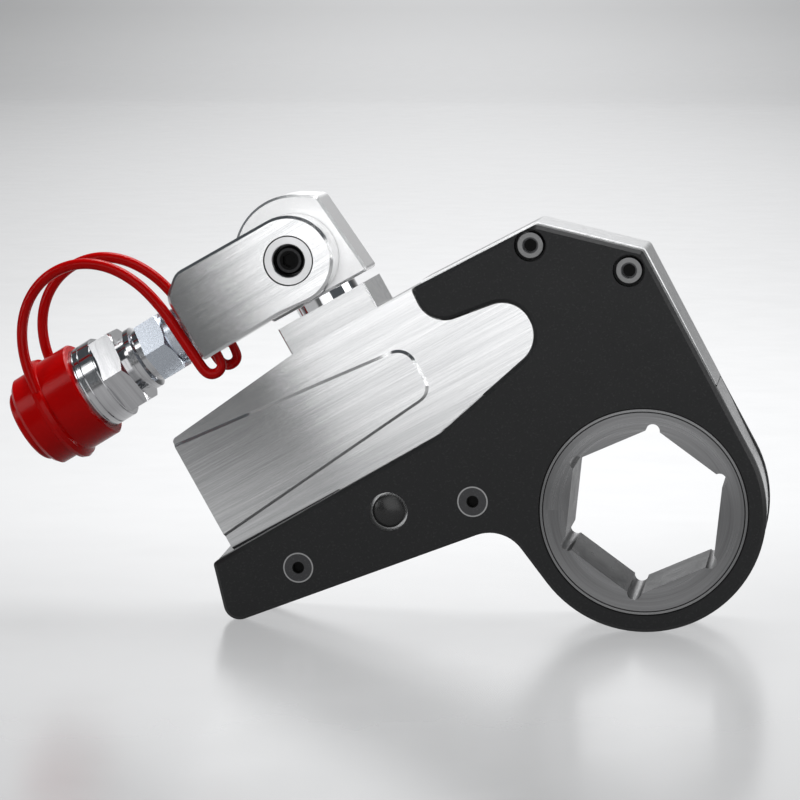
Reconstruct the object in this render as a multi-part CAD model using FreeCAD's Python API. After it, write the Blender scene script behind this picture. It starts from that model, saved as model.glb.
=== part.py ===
import FreeCAD, Part
import math
import os

# Low-profile hydraulic torque wrench, in millimetres. The origin is the centre of the
# hexagon drive, halfway through the tool. +Y runs along the drive axis, away from the
# side with the button. The tool stands on the corner of its foot and on its nose.
#
# Every piece is drawn in the tool's own axes first: u runs along the cylinder towards
# the head, v runs square to it and away from the foot, and y is the depth. stand() then
# turns each piece into the pose in which the tool rests on a bench.

V = FreeCAD.Vector

# Fits
running = 0.05          # radial clearance of a shaft or journal that turns or slides
side_gap = 0.3          # clearance beside a moving piece
seam = 0.35             # visible joint between the drive unit and the side plates
film = 0.02             # clearance of a piece that is pressed or screwed home
seat_gap = 0.05         # clearance of a piece that rests against another one

# Hexagon drive and ratchet
hex_across_flats = 46.0
hex_relief = 2.2        # radius of the relief in each corner of the hexagon
journal_radius = 31.1
bush_wall = 1.2
tooth_count = 36
tooth_depth = 2.2
tooth_tip_radius = 34.6
wheel_half = 6.6        # half of the toothed width
wheel_face_drop = 0.2   # the wheel's end faces lie this far inside the plates' faces

# Link: side plates, frame and shroud
plate_thickness = 4.2
inner_half = 12.0       # half of the space between the side plates
nose_radius = 37.6
plate_chamfer = 1.1
foot_corner = (-133.0, 29.7)
foot_corner_radius = 5.0
foot_heel = (-127.5, 49.1)
shoulder = (-40.4, 16.6)
shoulder_radius = 12.0
arm_bend = (-44.6, 50.8)
head_corner = (38.5, 70.6)
head_apex = (13.6, 93.4)
finger_corner = (-29.6, 94.5)
finger_low = (-30.4, 81.5)
finger_radius = 9.0
recess_top = (-1.9, 77.4)
recess_low = (-1.9, 60.6)
recess_top_radius = 9.5
recess_low_radius = 10.0
frame_inset = 0.4       # the frame lies this far inside the plates' outline
band_wall = 1.9         # wall of the frame round the nose
shroud_proud = 0.7      # the shroud stands this far outside the plates' outline
shroud_wall = 3.0       # and reaches this far inside it
shroud_end = 23.75      # the shroud's lower end on the head's flank

# Drive levers, pawls and pins
lever_ring_wall = 3.7
lever_eye_radius = 9.5
drive_pin_radius = 5.0
pawl_arc = 11.0         # half of the angle that the drive pawl covers, in degrees
pawl_top = 44.0         # outer face of the drive pawl, from the hexagon axis
pawl_lift = 2.4         # how far the drive pawl rises to pass over the teeth
bridge_gap = 4.9        # between the bridge block and the rod's eye
bridge_half_width = 10.0
holding_pivot = (-37.5, 23.0)
holding_pin_radius = 2.5
holding_tooth_angle = 115.0
holding_lift_deg = 11.5
heel_reach = 4.6
holding_spring_radius = 1.8
holding_spring_length = 8.5

# Cylinder
stroke = 24.0
bore_radius = 12.5
cylinder_height = 72.5  # hexagon axis to cylinder axis
pin_rise = 0.5          # the drive pin is this much farther from the hexagon axis
rod_eye_radius = 9.6
rod_flat_length = 14.0  # the rod's flattened end
body_half = 15.0
body_rear = -119.8
body_floor = 51.5
body_top = 94.5
body_top_rear = 89.3    # the top slopes down to this height at the rear
body_slope_start = -73.0
core_front = -26.6      # front of the solid part of the cylinder body
cheek_front = -1.0
piston_length = 12.0
rod_radius = 7.0
end_plug_length = 11.5
gland_length = 12.0
gland_front = -45.5
spring_wire = 1.1
spring_turns = 5
flat_rise = 1.0         # the long raised flat on each side of the body
flat_bevel = 0.9
skirt_floor = 49.0      # the body's sides reach down to the plates
skirt_round = 2.4       # and are rounded from here to the rear
skirt_round_end = -80.0

# Release button
button_at = (-70.0, 37.3)
button_radius = 5.2
button_hole_radius = 6.1
button_travel = 2.5
button_neck_radius = 2.6
lug_half = 1.1          # half the thickness of the catch on the drive unit
lug_half_width = 6.0

# Swivel
swivel_u = -57.2
base_half = 15.5
base_height = 8.8
swivel_gap = 2.7
post_radius = 10.4
stem_radius = 7.0
block_half = 9.0
hinge_rise = 17.1       # the hinge above the base block
hinge_back = 0.9        # and behind the swivel's axis
block_rear = 17.1       # the swivel block's faces, from the swivel's axis
block_front = 17.3
block_corner = (14.6, 13.5)  # its top corner, from the swivel's axis and the hinge
block_corner_radius = 2.5
block_rim = 1.2
block_radius = 19.6
hinge_radius = 6.0

# Yoke arm, on its own axis through the hinge
arm_tilt = 2.3          # the arm hangs this many degrees below the cylinder's axis
arm_length = 39.5
arm_half = 21.0
arm_round = 13.9
arm_drop = 12.7         # lower edge below the hinge
arm_rise = 15.1         # upper edge above the hinge, at the rear
arm_waist = 11.0        # where the lower edge turns into the round end
arm_waist_radius = 8.0
arm_slope = (6.8, 5.3)  # the corner cut off the arm's upper end
arm_slope_radius = 5.5
arm_gap = 21.0          # depth of the fork, from the hinge
port_drop = 1.7         # the port's axis below the hinge
hinge_head_radius = 7.7
hinge_head_depth = 3.0

# Coupler and cap, measured along the port's axis from the arm's end face
adapter_flats = 19.0
adapter_start = 9.4
adapter_length = 17.7
stud_radius = 8.6
neck_radius = 9.0
bead_radius = 10.6
bead_at = 21.3
sleeve_start = 24.8
sleeve_flats = 24.8
sleeve_hex_length = 7.8
sleeve_radius = 13.95
sleeve_end = 52.1
sleeve_travel = 3.0
coupler_radius = 11.0
coupler_end = 57.6
cap_start = 40.6
cap_radius = 16.2
cap_bead_at = 53.3
cap_bead_radius = 1.9
cap_bead_rise = 1.6     # the bead stands this far outside the cap's skirt
cap_end = 62.5
cap_boss_radius = 12.2
cap_boss_end = 65.1
cord_radius = 1.4
cord_spacing = 12.0     # each strand of the tether lies this far from the middle

# Sizes that follow from the ones above
plate_face = inner_half + plate_thickness
bush_radius = journal_radius + running + bush_wall
lever_inner = wheel_half + side_gap
lever_outer = inner_half - side_gap
lever_ring_radius = journal_radius + running + lever_ring_wall
band_inner_radius = nose_radius - frame_inset - band_wall
lever_length = cylinder_height + pin_rise
bridge_top = lever_length - rod_eye_radius - bridge_gap
swing = math.degrees(math.asin(stroke / 2 / lever_length))
pitch_deg = 360.0 / tooth_count
base_top = body_top + base_height
block_floor = base_top + swivel_gap
hinge_u = swivel_u - hinge_back
hinge_v = base_top + hinge_rise
stem_height = hinge_rise - hinge_radius - 1.5
core_half = inner_half - 0.1


# Helpers: points, outlines and solids

def at(u, v, y=0.0):
    """A point of the tool's own axes."""
    return V(u, y, v)


def polar(radius, degrees, centre=(0.0, 0.0)):
    """A point (u, v) at an angle round a centre, counted from +u towards +v."""
    a = math.radians(degrees)
    return (centre[0] + radius * math.cos(a), centre[1] + radius * math.sin(a))


def turned_point(point, degrees, centre=(0.0, 0.0)):
    """The point after a turn from +u towards +v round a centre."""
    du, dv = point[0] - centre[0], point[1] - centre[1]
    a = math.radians(degrees)
    return (centre[0] + du * math.cos(a) - dv * math.sin(a),
            centre[1] + du * math.sin(a) + dv * math.cos(a))


def tangent_angle(point, centre, radius, side):
    """The angle at which a line from a point touches a circle, on one side of it."""
    du, dv = point[0] - centre[0], point[1] - centre[1]
    return math.degrees(math.atan2(dv, du) + side * math.acos(radius / math.hypot(du, dv)))


def corner_arc(before, corner, after, radius):
    """Start, middle and end of the arc that rounds a corner, and the arc's centre."""
    a = V(before[0] - corner[0], before[1] - corner[1], 0).normalize()
    b = V(after[0] - corner[0], after[1] - corner[1], 0).normalize()
    half = a.getAngle(b) / 2
    run = radius / math.tan(half)
    bisector = (a + b).normalize()
    c = V(corner[0], corner[1], 0)
    centre = c + bisector * (radius / math.sin(half))
    middle = centre - bisector * radius
    start, end = c + a * run, c + b * run
    return (start.x, start.y), (middle.x, middle.y), (end.x, end.y), (centre.x, centre.y)


def outline(items, y=0.0):
    """A closed outline, drawn counter-clockwise. An item is (u, v), (u, v, r) for a
    rounded corner, or ("disc", u, v, r) for a bulge that the outline goes round."""
    count = len(items)
    stops = []
    for i, item in enumerate(items):
        if item[0] != "disc":
            stops.append(item)
            continue
        centre, radius = (item[1], item[2]), item[3]
        before, after = items[i - 1], items[(i + 1) % count]
        first = tangent_angle(before[:2], centre, radius, 1)
        last = tangent_angle(after[:2], centre, radius, -1)
        while last < first:
            last += 360
        stops.append(("arc", polar(radius, first, centre),
                      polar(radius, (first + last) / 2, centre), polar(radius, last, centre)))
    spans = []
    for i, stop in enumerate(stops):
        before, after = stops[i - 1], stops[(i + 1) % len(stops)]
        before = before[3] if before[0] == "arc" else before[:2]
        after = after[1] if after[0] == "arc" else after[:2]
        if stop[0] == "arc":
            spans.append(stop[1:])
        elif len(stop) == 3 and stop[2] > 0:
            spans.append(corner_arc(before, stop[:2], after, stop[2])[:3])
        else:
            spans.append((stop[:2],))
    edges = []
    for i, span in enumerate(spans):
        if len(span) == 3:
            edges.append(Part.Arc(*[at(*p, y) for p in span]).toShape())
        start, end = at(*span[-1], y), at(*spans[(i + 1) % len(spans)][0], y)
        if start.distanceToPoint(end) > 1e-4:
            edges.append(Part.LineSegment(start, end).toShape())
    return Part.Wire(edges)


def slab(items, low, high):
    """A plate of the given outline between two depths."""
    return Part.Face(outline(items, low)).extrude(V(0, high - low, 0))


def grown(items, distance, low, high):
    """A plate whose outline lies outside the given one by a distance."""
    face = Part.Face(outline(items, low)).makeOffset2D(distance, join=0)
    return face.extrude(V(0, high - low, 0))


def cross_rod(u, v, radius, low, high):
    """A round bar along y."""
    return Part.makeCylinder(radius, high - low, at(u, v, low), V(0, 1, 0))


def long_rod(v, radius, start, end, y=0.0):
    """A round bar along u."""
    return Part.makeCylinder(radius, end - start, at(start, v, y), V(1, 0, 0))


def box(u0, u1, y0, y1, v0, v1):
    return Part.makeBox(u1 - u0, y1 - y0, v1 - v0, V(u0, y0, v0))


def hex_bar(across_flats, start, depth, centre, direction, turn=0.0):
    """A hexagonal bar from a point along a direction. With no turn a flat faces +y or +u."""
    radius = across_flats / math.sqrt(3)
    points = [V(radius * math.cos(math.radians(60 * i + turn)),
                radius * math.sin(math.radians(60 * i + turn)), 0) for i in range(7)]
    bar = Part.Face(Part.makePolygon(points)).extrude(V(0, 0, depth))
    bar.Placement = FreeCAD.Placement(centre + direction * start,
                                      FreeCAD.Rotation(V(0, 0, 1), direction))
    return bar


def mirrored(shape):
    """The same piece on the other side of the tool."""
    return shape.mirror(V(0, 0, 0), V(0, 1, 0))


def swung(shape, degrees, centre=(0.0, 0.0)):
    """A copy turned from +u towards +v round a cross axis."""
    copy = shape.copy()
    copy.rotate(at(*centre), V(0, 1, 0), -degrees)
    return copy


def rim_edges(shape, depth):
    """The open edges of a flat face at a depth, which leaves out its round holes."""
    return [e for e in shape.Edges
            if len(e.Vertexes) == 2 and all(abs(p.Y - depth) < 1e-4 for p in e.Vertexes)
            and abs(e.CenterOfMass.y - depth) < 1e-4]


def broken(shape, depths, size):
    """The piece with the rim of its flat faces chamfered."""
    for depth in depths:
        shape = shape.makeChamfer(size, rim_edges(shape, depth))
    return shape


def on_arm(shape):
    """From the arm's axes, whose origin is the hinge, to the tool's axes."""
    copy = shape.copy()
    copy.rotate(V(0, 0, 0), V(0, 1, 0), -arm_tilt)
    copy.translate(at(hinge_u, hinge_v))
    return copy


def turned_on_port(points):
    """A body of revolution on the port's axis, from (distance behind the arm, radius)."""
    wire = Part.makePolygon([at(-arm_length - a, r) for a, r in points + points[:1]])
    solid = Part.Face(wire).revolve(V(0, 0, 0), V(1, 0, 0), 360)
    solid.translate(at(0, -port_drop))
    return solid


def coil(mean_radius, wire, length, turns, base, direction):
    """A compression spring that fills a length."""
    height = length - 2 * wire
    helix = Part.makeHelix(height / turns, height, mean_radius)
    section = Part.Wire(Part.makeCircle(wire, V(mean_radius, 0, 0), V(0, 1, 0)))
    spring = Part.Wire(helix.Edges).makePipeShell([section], True, True)
    spring.translate(V(0, 0, wire))
    spring.Placement = FreeCAD.Placement(base, FreeCAD.Rotation(V(0, 0, 1), direction)).multiply(
        spring.Placement)
    return spring


def stand_angle():
    """The tilt at which the foot's rounded corner and the nose touch one level plane."""
    centre = corner_arc(foot_heel, foot_corner, shoulder, foot_corner_radius)[3]
    reach = math.hypot(*centre)
    drop = (foot_corner_radius - nose_radius) / reach
    return math.degrees(math.atan2(centre[0], centre[1]) + math.acos(drop))


tilt = stand_angle()


def stand(shape):
    """From the tool's own axes to the standing pose."""
    copy = shape.copy()
    copy.rotate(V(0, 0, 0), V(0, 1, 0), -tilt)
    return copy


# Outlines of the link

plate_outline = [
    (*foot_corner, foot_corner_radius),
    (*shoulder, shoulder_radius),
    ("disc", 0.0, 0.0, nose_radius),
    (*head_corner, 1.5),
    (*head_apex, 2.0),
    (*finger_corner, 1.3),
    (*finger_low, finger_radius),
    (*recess_top, recess_top_radius),
    (*recess_low, recess_low_radius),
    (*arm_bend, 15.0),
    (*foot_heel, 1.3),
]

cavity_outline = [
    (core_front, body_floor),
    ("disc", 0.0, 0.0, band_inner_radius),
    (head_corner[0] - shroud_wall, head_corner[1] - shroud_wall),
    (head_apex[0] - shroud_wall, head_apex[1] - shroud_wall),
    (core_front, body_top - shroud_wall),
]

csk_places = [(-103.9, 35.2), (-45.1, 27.7)]
cap_screw_places = [(9.2, 88.6), (32.0, 67.4)]
screw_head_radius = 4.95
screw_shank_radius = 2.5
csk_depth = screw_head_radius - screw_shank_radius
counterbore_depth = 3.2
cap_head_height = 2.8
screw_reach = 6.5       # length of a screw below its head
socket_flats = 3.0
socket_depth = 1.6


# Link pieces

def side_plate():
    """The plate on the button's side. The other one is its mirror image."""
    plate = slab(plate_outline, -plate_face, -inner_half)
    plate = broken(plate, [-plate_face], plate_chamfer)
    plate = plate.cut(cross_rod(0, 0, bush_radius + film, -plate_face, -inner_half))
    for u, v in csk_places:
        head = Part.makeCone(screw_head_radius + film, screw_shank_radius + film, csk_depth,
                             at(u, v, -plate_face), V(0, 1, 0))
        plate = plate.cut(head)
        plate = plate.cut(cross_rod(u, v, screw_shank_radius + film, -plate_face, -inner_half))
    for u, v in cap_screw_places:
        plate = plate.cut(cross_rod(u, v, screw_head_radius, -plate_face - 1,
                                    -plate_face + counterbore_depth))
        plate = plate.cut(cross_rod(u, v, screw_shank_radius + film, -plate_face, -inner_half))
    return plate


def front_plate():
    hole = cross_rod(*button_at, button_hole_radius, -plate_face, -inner_half)
    return side_plate().cut(hole)


def rear_plate():
    return mirrored(side_plate())


def bush():
    """The thin ring that the wheel's journal turns in, pressed into a side plate."""
    ring = cross_rod(0, 0, bush_radius, -plate_face + wheel_face_drop, -inner_half)
    return ring.cut(cross_rod(0, 0, journal_radius + running, -plate_face, -inner_half))


def countersunk_screw(u, v):
    face = -plate_face + seat_gap
    head = Part.makeCone(screw_head_radius - seat_gap - film, screw_shank_radius, csk_depth - seat_gap,
                         at(u, v, face), V(0, 1, 0))
    start = face + csk_depth - seat_gap
    shank = cross_rod(u, v, screw_shank_radius, start, start + screw_reach)
    socket = hex_bar(socket_flats, 0, socket_depth, at(u, v, face), V(0, 1, 0))
    return head.fuse(shank).removeSplitter().cut(socket)


def cap_screw(u, v):
    seat = -plate_face + counterbore_depth
    head = cross_rod(u, v, screw_head_radius - 0.7, seat - cap_head_height, seat)
    head = head.makeFillet(0.5, [e for e in head.Edges
                                 if abs(e.CenterOfMass.y - (seat - cap_head_height)) < 1e-4])
    shank = cross_rod(u, v, screw_shank_radius, seat, seat + screw_reach)
    socket = hex_bar(socket_flats + 1, 0, socket_depth, at(u, v, seat - cap_head_height), V(0, 1, 0))
    return head.fuse(shank).cut(socket)


def both_sides(maker, places):
    """The screws of one kind, on both sides of the tool."""
    near = [maker(u, v) for u, v in places]
    return Part.makeCompound(near + [mirrored(s) for s in near])


def screw_hole(u, v, side):
    """The hole for a screw's end in the frame or the shroud."""
    start = inner_half if side > 0 else -inner_half
    depth = counterbore_depth + screw_reach
    low, high = sorted((start, start - side * (depth - plate_thickness + 1.0)))
    return cross_rod(u, v, screw_shank_radius + film, low, high)


def link_frame():
    """The silver core of the lower arm, with the band round the nose."""
    items = [
        (*foot_corner, foot_corner_radius),
        (*shoulder, shoulder_radius),
        ("disc", 0.0, 0.0, nose_radius),
        (head_corner[0], shroud_end),
        (0.0, shroud_end),
        (0.0, body_floor + frame_inset),
        (body_rear - 1.0, body_floor),
        (*foot_heel, 0.8),
    ]
    frame = grown(items, -frame_inset, -inner_half, inner_half)
    frame = frame.cut(slab(cavity_outline, -inner_half, inner_half))
    frame = frame.cut(cross_rod(0, 0, band_inner_radius, -inner_half, inner_half))
    frame = frame.cut(holding_pocket())
    frame = frame.cut(cross_rod(*holding_pivot, holding_pin_radius + film, -inner_half, inner_half))
    frame = frame.cut(cross_rod(*button_at, button_radius + running, -inner_half, inner_half))
    u, v = button_at
    frame = frame.cut(box(u - lug_half_width - side_gap, u + lug_half_width + side_gap,
                          -lug_half - side_gap, lug_half + side_gap,
                          v - lug_half_width - side_gap - 1, body_floor + 1))
    for place in csk_places:
        for side in (-1, 1):
            frame = frame.cut(screw_hole(*place, side))
    return frame


def head_shroud():
    """The bent cover that closes the head between the side plates."""
    line = [(core_front, body_top), head_apex, head_corner, (nose_radius, shroud_end)]
    outer, inner = [], []
    for i, point in enumerate(line):
        before, after = line[max(i - 1, 0)], line[min(i + 1, len(line) - 1)]
        if i in (0, len(line) - 1):
            d = V(after[0] - before[0], after[1] - before[1], 0).normalize()
            normal, stretch = V(-d.y, d.x, 0), 1.0
        else:
            a = V(point[0] - before[0], point[1] - before[1], 0).normalize()
            b = V(after[0] - point[0], after[1] - point[1], 0).normalize()
            normal = (V(-a.y, a.x, 0) + V(-b.y, b.x, 0)).normalize()
            stretch = 1 / math.cos(a.getAngle(b) / 2)
        shift = normal * stretch
        if i == 0:
            shift = V(0, 1, 0)
        if i == len(line) - 1:
            shift = V(1, 0, 0)
        outer.append((point[0] + shift.x * shroud_proud, point[1] + shift.y * shroud_proud))
        inner.append((point[0] - shift.x * shroud_wall, point[1] - shift.y * shroud_wall))
    outer = [outer[0], (*outer[1], 2.5), (*outer[2], 2.0), outer[3]]
    shroud = slab(list(reversed(outer)) + inner, -inner_half, inner_half)
    skin = slab([(core_front, 0)] + [(line[-1][0] + shroud_proud, 0)]
                + [p[:2] for p in reversed(outer)], -inner_half, inner_half)
    for place in cap_screw_places:
        boss = cross_rod(*place, screw_head_radius + 1.0, -inner_half, inner_half)
        shroud = shroud.fuse(boss.common(skin))
    for place in cap_screw_places:
        for side in (-1, 1):
            shroud = shroud.cut(screw_hole(*place, side))
    return shroud.removeSplitter()


# Ratchet wheel, levers and pawls

def tooth_outline(extra=0.0, turn=0.0):
    """The saw-toothed rim. Each tooth's steep face looks from +u towards +v."""
    points = []
    root = tooth_tip_radius - tooth_depth
    for i in range(tooth_count):
        steep = 90 + swing + pitch_deg * (i + 0.5) + turn
        points.append(polar(root + extra, steep - pitch_deg + 0.01))
        points.append(polar(tooth_tip_radius + extra, steep - 0.14 * pitch_deg))
        points.append(polar(tooth_tip_radius + extra, steep))
    return points


def ratchet_wheel():
    """The toothed wheel, its two journals and the hexagon right through it."""
    face = plate_face - wheel_face_drop
    wheel = slab(tooth_outline(), -wheel_half, wheel_half)
    wheel = wheel.fuse(cross_rod(0, 0, journal_radius, -face, face))
    wheel = wheel.cut(hex_bar(hex_across_flats, -face - 1, 2 * face + 2, V(0, 0, 0), V(0, 1, 0),
                              hex_turn))
    corner = hex_across_flats / math.sqrt(3) - hex_relief * 0.55
    for i in range(6):
        angle = hex_corner_angle + 60 * i
        wheel = wheel.cut(cross_rod(*polar(corner, angle), hex_relief, -face - 1, face + 1))
    return wheel


hex_corner_angle = 84.2 - tilt  # one corner of the hexagon, from +u towards +v
hex_turn = -hex_corner_angle


def lever():
    """The drive plate on the button's side, drawn upright."""
    eye = ("disc", 0.0, lever_length, lever_eye_radius)
    ring = ("disc", 0.0, 0.0, lever_ring_radius)
    lean = math.degrees(math.asin((lever_ring_radius - lever_eye_radius) / lever_length))
    right = polar(lever_ring_radius, lean)
    right_top = polar(lever_eye_radius, lean, (0, lever_length))
    left = polar(lever_ring_radius, 180 - lean)
    left_top = polar(lever_eye_radius, 180 - lean, (0, lever_length))
    edges = [
        Part.Arc(at(*left), at(0, -ring[3]), at(*right)).toShape(),
        Part.LineSegment(at(*right), at(*right_top)).toShape(),
        Part.Arc(at(*right_top), at(0, lever_length + eye[3]), at(*left_top)).toShape(),
        Part.LineSegment(at(*left_top), at(*left)).toShape(),
    ]
    plate = Part.Face(Part.Wire(edges)).extrude(V(0, lever_outer - lever_inner, 0))
    plate.translate(V(0, -lever_outer, 0))
    plate = plate.cut(cross_rod(0, 0, journal_radius + running, -lever_outer, -lever_inner))
    plate = plate.cut(cross_rod(0, lever_length, drive_pin_radius + film, -lever_outer, -lever_inner))
    for u in (-1, 1):
        plate = plate.cut(cross_rod(u * dowel_spacing, dowel_v, dowel_radius + film,
                                    -lever_outer, -lever_inner))
    return plate


dowel_radius = 2.0
dowel_spacing = 6.5
dowel_drop = 4.0        # the dowels lie this far below the bridge block's top
dowel_v = bridge_top - dowel_drop
pawl_spring_spacing = 4.5
pawl_spring_radius = 2.0
pawl_pocket_depth = 3.5


def lever_bridge():
    """The block between the levers that backs the drive pawl's springs."""
    floor = pawl_top + pawl_lift + 0.1
    block = box(-bridge_half_width, bridge_half_width, -lever_inner, lever_inner, floor, bridge_top)
    for u in (-1, 1):
        block = block.cut(cross_rod(u * dowel_spacing, dowel_v, dowel_radius + film,
                                    -lever_inner, lever_inner))
        block = block.cut(Part.makeCylinder(pawl_spring_radius + 0.4, pawl_pocket_depth,
                                            at(u * pawl_spring_spacing, floor), V(0, 0, 1)))
    return block


def drive_pawl():
    """The toothed segment that the levers push round, meshed with the wheel."""
    slot = wheel_half
    left, right = polar(tooth_tip_radius + 3, 90 + pawl_arc), polar(tooth_tip_radius + 3, 90 - pawl_arc)
    low_left = polar(tooth_tip_radius - tooth_depth, 90 + pawl_arc)
    low_right = polar(tooth_tip_radius - tooth_depth, 90 - pawl_arc)
    block = slab([low_left, low_right, right, (right[0], pawl_top), (left[0], pawl_top), left],
                 -slot, slot)
    for step in range(7):
        teeth = slab(tooth_outline(0.1, 0.05 - swing), -slot, slot)
        teeth.translate(at(0, -pawl_lift * step / 6))
        block = block.cut(teeth)
    for u in (-1, 1):
        block = block.cut(Part.makeCylinder(pawl_spring_radius + 0.4, pawl_pocket_depth,
                                            at(u * pawl_spring_spacing, pawl_top), V(0, 0, -1)))
    return block


def drive_pawl_springs():
    length = 2 * pawl_pocket_depth + pawl_lift + 0.1
    springs = [coil(pawl_spring_radius - 0.4, 0.4, length, 4,
                    at(u * pawl_spring_spacing, pawl_top - pawl_pocket_depth), V(0, 0, 1))
               for u in (-1, 1)]
    return Part.makeCompound(springs)


def bridge_dowels():
    pins = [cross_rod(u * dowel_spacing, dowel_v, dowel_radius, -lever_outer, lever_outer)
            for u in (-1, 1)]
    return Part.makeCompound(pins)


def drive_pin():
    pin = cross_rod(0, lever_length, drive_pin_radius, -lever_outer, lever_outer)
    return broken_ends(pin, lever_outer, 0.5)


def broken_ends(pin, half, size):
    """A cross pin with both ends chamfered."""
    return pin.makeChamfer(size, [e for e in pin.Edges if abs(abs(e.CenterOfMass.y) - half) < 1e-4])


def holding_tip():
    """Where the holding pawl's tip sits, against the steep face of a tooth."""
    first = 90 + swing + pitch_deg * 0.5
    steps = round((holding_tooth_angle - first) / pitch_deg)
    return first + steps * pitch_deg


def holding_pawl():
    """The pawl that keeps the wheel from turning back."""
    steep = holding_tip() + 0.25
    root = tooth_tip_radius - tooth_depth + 0.15
    low = polar(root, steep)
    high = polar(tooth_tip_radius + 3.2, steep + 2.0)
    heel = polar(tooth_tip_radius + 0.4, steep + 0.82 * pitch_deg)
    eye = 5.0
    body = slab([low, high, (holding_pivot[0] + 3.0, holding_pivot[1] + eye),
                 (holding_pivot[0], holding_pivot[1]), (holding_pivot[0] + 3.5, holding_pivot[1] - 2.0),
                 heel], -wheel_half, wheel_half)
    hub = cross_rod(*holding_pivot, eye, -wheel_half, wheel_half)
    u, v = holding_pivot
    heel_pad = box(u - heel_reach, u, -wheel_half, wheel_half, v, v + 5.6)
    pawl = body.fuse(hub).fuse(heel_pad).removeSplitter()
    pawl = pawl.cut(cross_rod(0, 0, tooth_tip_radius + 0.25, -wheel_half, wheel_half).common(
        slab([(0, 0), polar(50, steep + 0.9 * pitch_deg), polar(50, steep + 30)], -wheel_half, wheel_half)))
    return pawl.cut(cross_rod(*holding_pivot, holding_pin_radius + running, -wheel_half, wheel_half))


def holding_pocket():
    """The room that the holding pawl needs in the frame, lift included."""
    half = wheel_half + side_gap
    room = cross_rod(*holding_pivot, 5.4, -half, half)
    u, v = holding_pivot
    tip = polar(tooth_tip_radius + 9.0, holding_tip() + 2)
    window = slab([(u + 1, v - 5.4), polar(band_inner_radius, 165), (0, 20), tip,
                   (u - 1.0, v + 5.4)], -half, half)
    heel_room = box(u - heel_reach - 1.6, u, -half, half, v, v + 6.6)
    start = u - heel_reach - holding_spring_length - 0.1
    bore = long_rod(v + 4.0, holding_spring_radius + 0.2, start, u - heel_reach)
    return room.fuse(window).fuse(heel_room).fuse(bore)


def holding_pin():
    pin = cross_rod(*holding_pivot, holding_pin_radius, -inner_half, inner_half)
    return pin


def holding_pawl_spring():
    """The small spring that presses the holding pawl into the teeth."""
    u, v = holding_pivot
    start = u - heel_reach - seat_gap - holding_spring_length
    return coil(holding_spring_radius - 0.4, 0.4, holding_spring_length, 4, at(start, v + 4.0), V(1, 0, 0))


# Drive unit

def body_block():
    """The cylinder body before anything is bored or cut."""
    block = slab([
        (body_rear, skirt_floor),
        (arm_bend[0], skirt_floor),
        (recess_low[0] + 2, recess_low[1] - 3),
        (recess_top[0] + 2, recess_top[1] + 3),
        (core_front, recess_top[1] + 7),
        (core_front, body_top),
        (body_slope_start, body_top, 12.0),
        (body_rear, body_top_rear, 1.5),
    ], -body_half, body_half)
    return block


def cylinder_body():
    body = body_block()
    for low, high in ((-body_half - 1, -core_half), (core_half, body_half + 1)):
        body = body.cut(grown(plate_outline, seam, low, high))
    body = body.cut(box(core_front, cheek_front + 10, -inner_half, inner_half,
                        body_floor - 10, body_top + 1))
    body = body.cut(box(cheek_front - seam, cheek_front + 10, -body_half - 1, body_half + 1,
                        body_floor - 10, body_top + 1))
    body = body.cut(box(body_rear - 1, cheek_front + 10, -inner_half, inner_half,
                        skirt_floor - 1, body_floor))
    body = body.cut(long_rod(cylinder_height, bore_radius, body_rear - 1, core_front + 1))
    for side in (-1, 1):
        body = body.fuse(side_flat(side))
        body = body.cut(skirt_relief(side))
    body = body.fuse(catch_lug())
    u = swivel_u
    body = body.cut(Part.makeCylinder(port_radius, body_top - cylinder_height, at(u, cylinder_height),
                                      V(0, 0, 1)))
    return body.removeSplitter()


port_radius = 2.0


def side_flat(side):
    """The long raised flat with a round nose on the body's side, and its bevel."""
    items = [
        (body_rear - 3, 54.35),
        (-39.1, 63.0, 5.5),
        (-39.5, 80.2, 6.0),
        (body_rear - 3, 87.95),
    ]
    face = body_half + flat_rise
    low, high = sorted((side * (body_half - 1), side * face))
    flat = broken(slab(items, low, high), [side * face], flat_bevel)
    return flat.common(box(body_rear, 0, low - 1, high + 1, skirt_floor, body_top))


def skirt_relief(side):
    """The rounded lower edge of the body's rear half, with a round end."""
    start, end, r = body_rear - 1, skirt_round_end, skirt_round
    floor = skirt_floor + seam
    edge = box(start, end, body_half - r, body_half + 1, floor - 1, floor + r)
    edge = edge.cut(long_rod(floor + r, r, start, end, body_half - r))
    side_view = [(start, floor - 1), (end, floor - 1), (end, floor + r, r * 0.95), (start, floor + r)]
    edge = edge.common(slab(side_view, body_half - r - 1, body_half + 2))
    return edge if side > 0 else mirrored(edge)


def catch_lug():
    """The keyhole catch under the body that the release button's pin holds."""
    u, v = button_at
    lug = box(u - lug_half_width, u + lug_half_width, -lug_half, lug_half,
              v - lug_half_width, body_floor + 0.5)
    lug = lug.cut(cross_rod(u, v, button_radius + running, -lug_half, lug_half))
    return lug.cut(box(u - button_neck_radius - 0.1, u + button_neck_radius + 0.1,
                       -lug_half, lug_half, v - lug_half_width - 1, v))


piston_rear = body_rear + end_plug_length + 0.5
piston_face = piston_rear + piston_length
gland_rear = gland_front - gland_length
rod_eye_u = -stroke / 2


def end_plug():
    """The plug that closes the cylinder, with two holes for a pin spanner."""
    plug = long_rod(cylinder_height, bore_radius - film, body_rear, body_rear + end_plug_length)
    groove_start = body_rear + end_plug_length - 5.0
    plug = plug.cut(seal_ring(bore_radius + 1, bore_radius - 2.0, groove_start, 2.4))
    for y in (-1, 1):
        hole = long_rod(cylinder_height, 1.5, body_rear, body_rear + 4, y * 7.0)
        plug = plug.cut(hole)
    return plug


def seal_ring(outer, inner, start, width):
    ring = long_rod(cylinder_height, outer, start, start + width)
    return ring.cut(long_rod(cylinder_height, inner, start, start + width))


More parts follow.
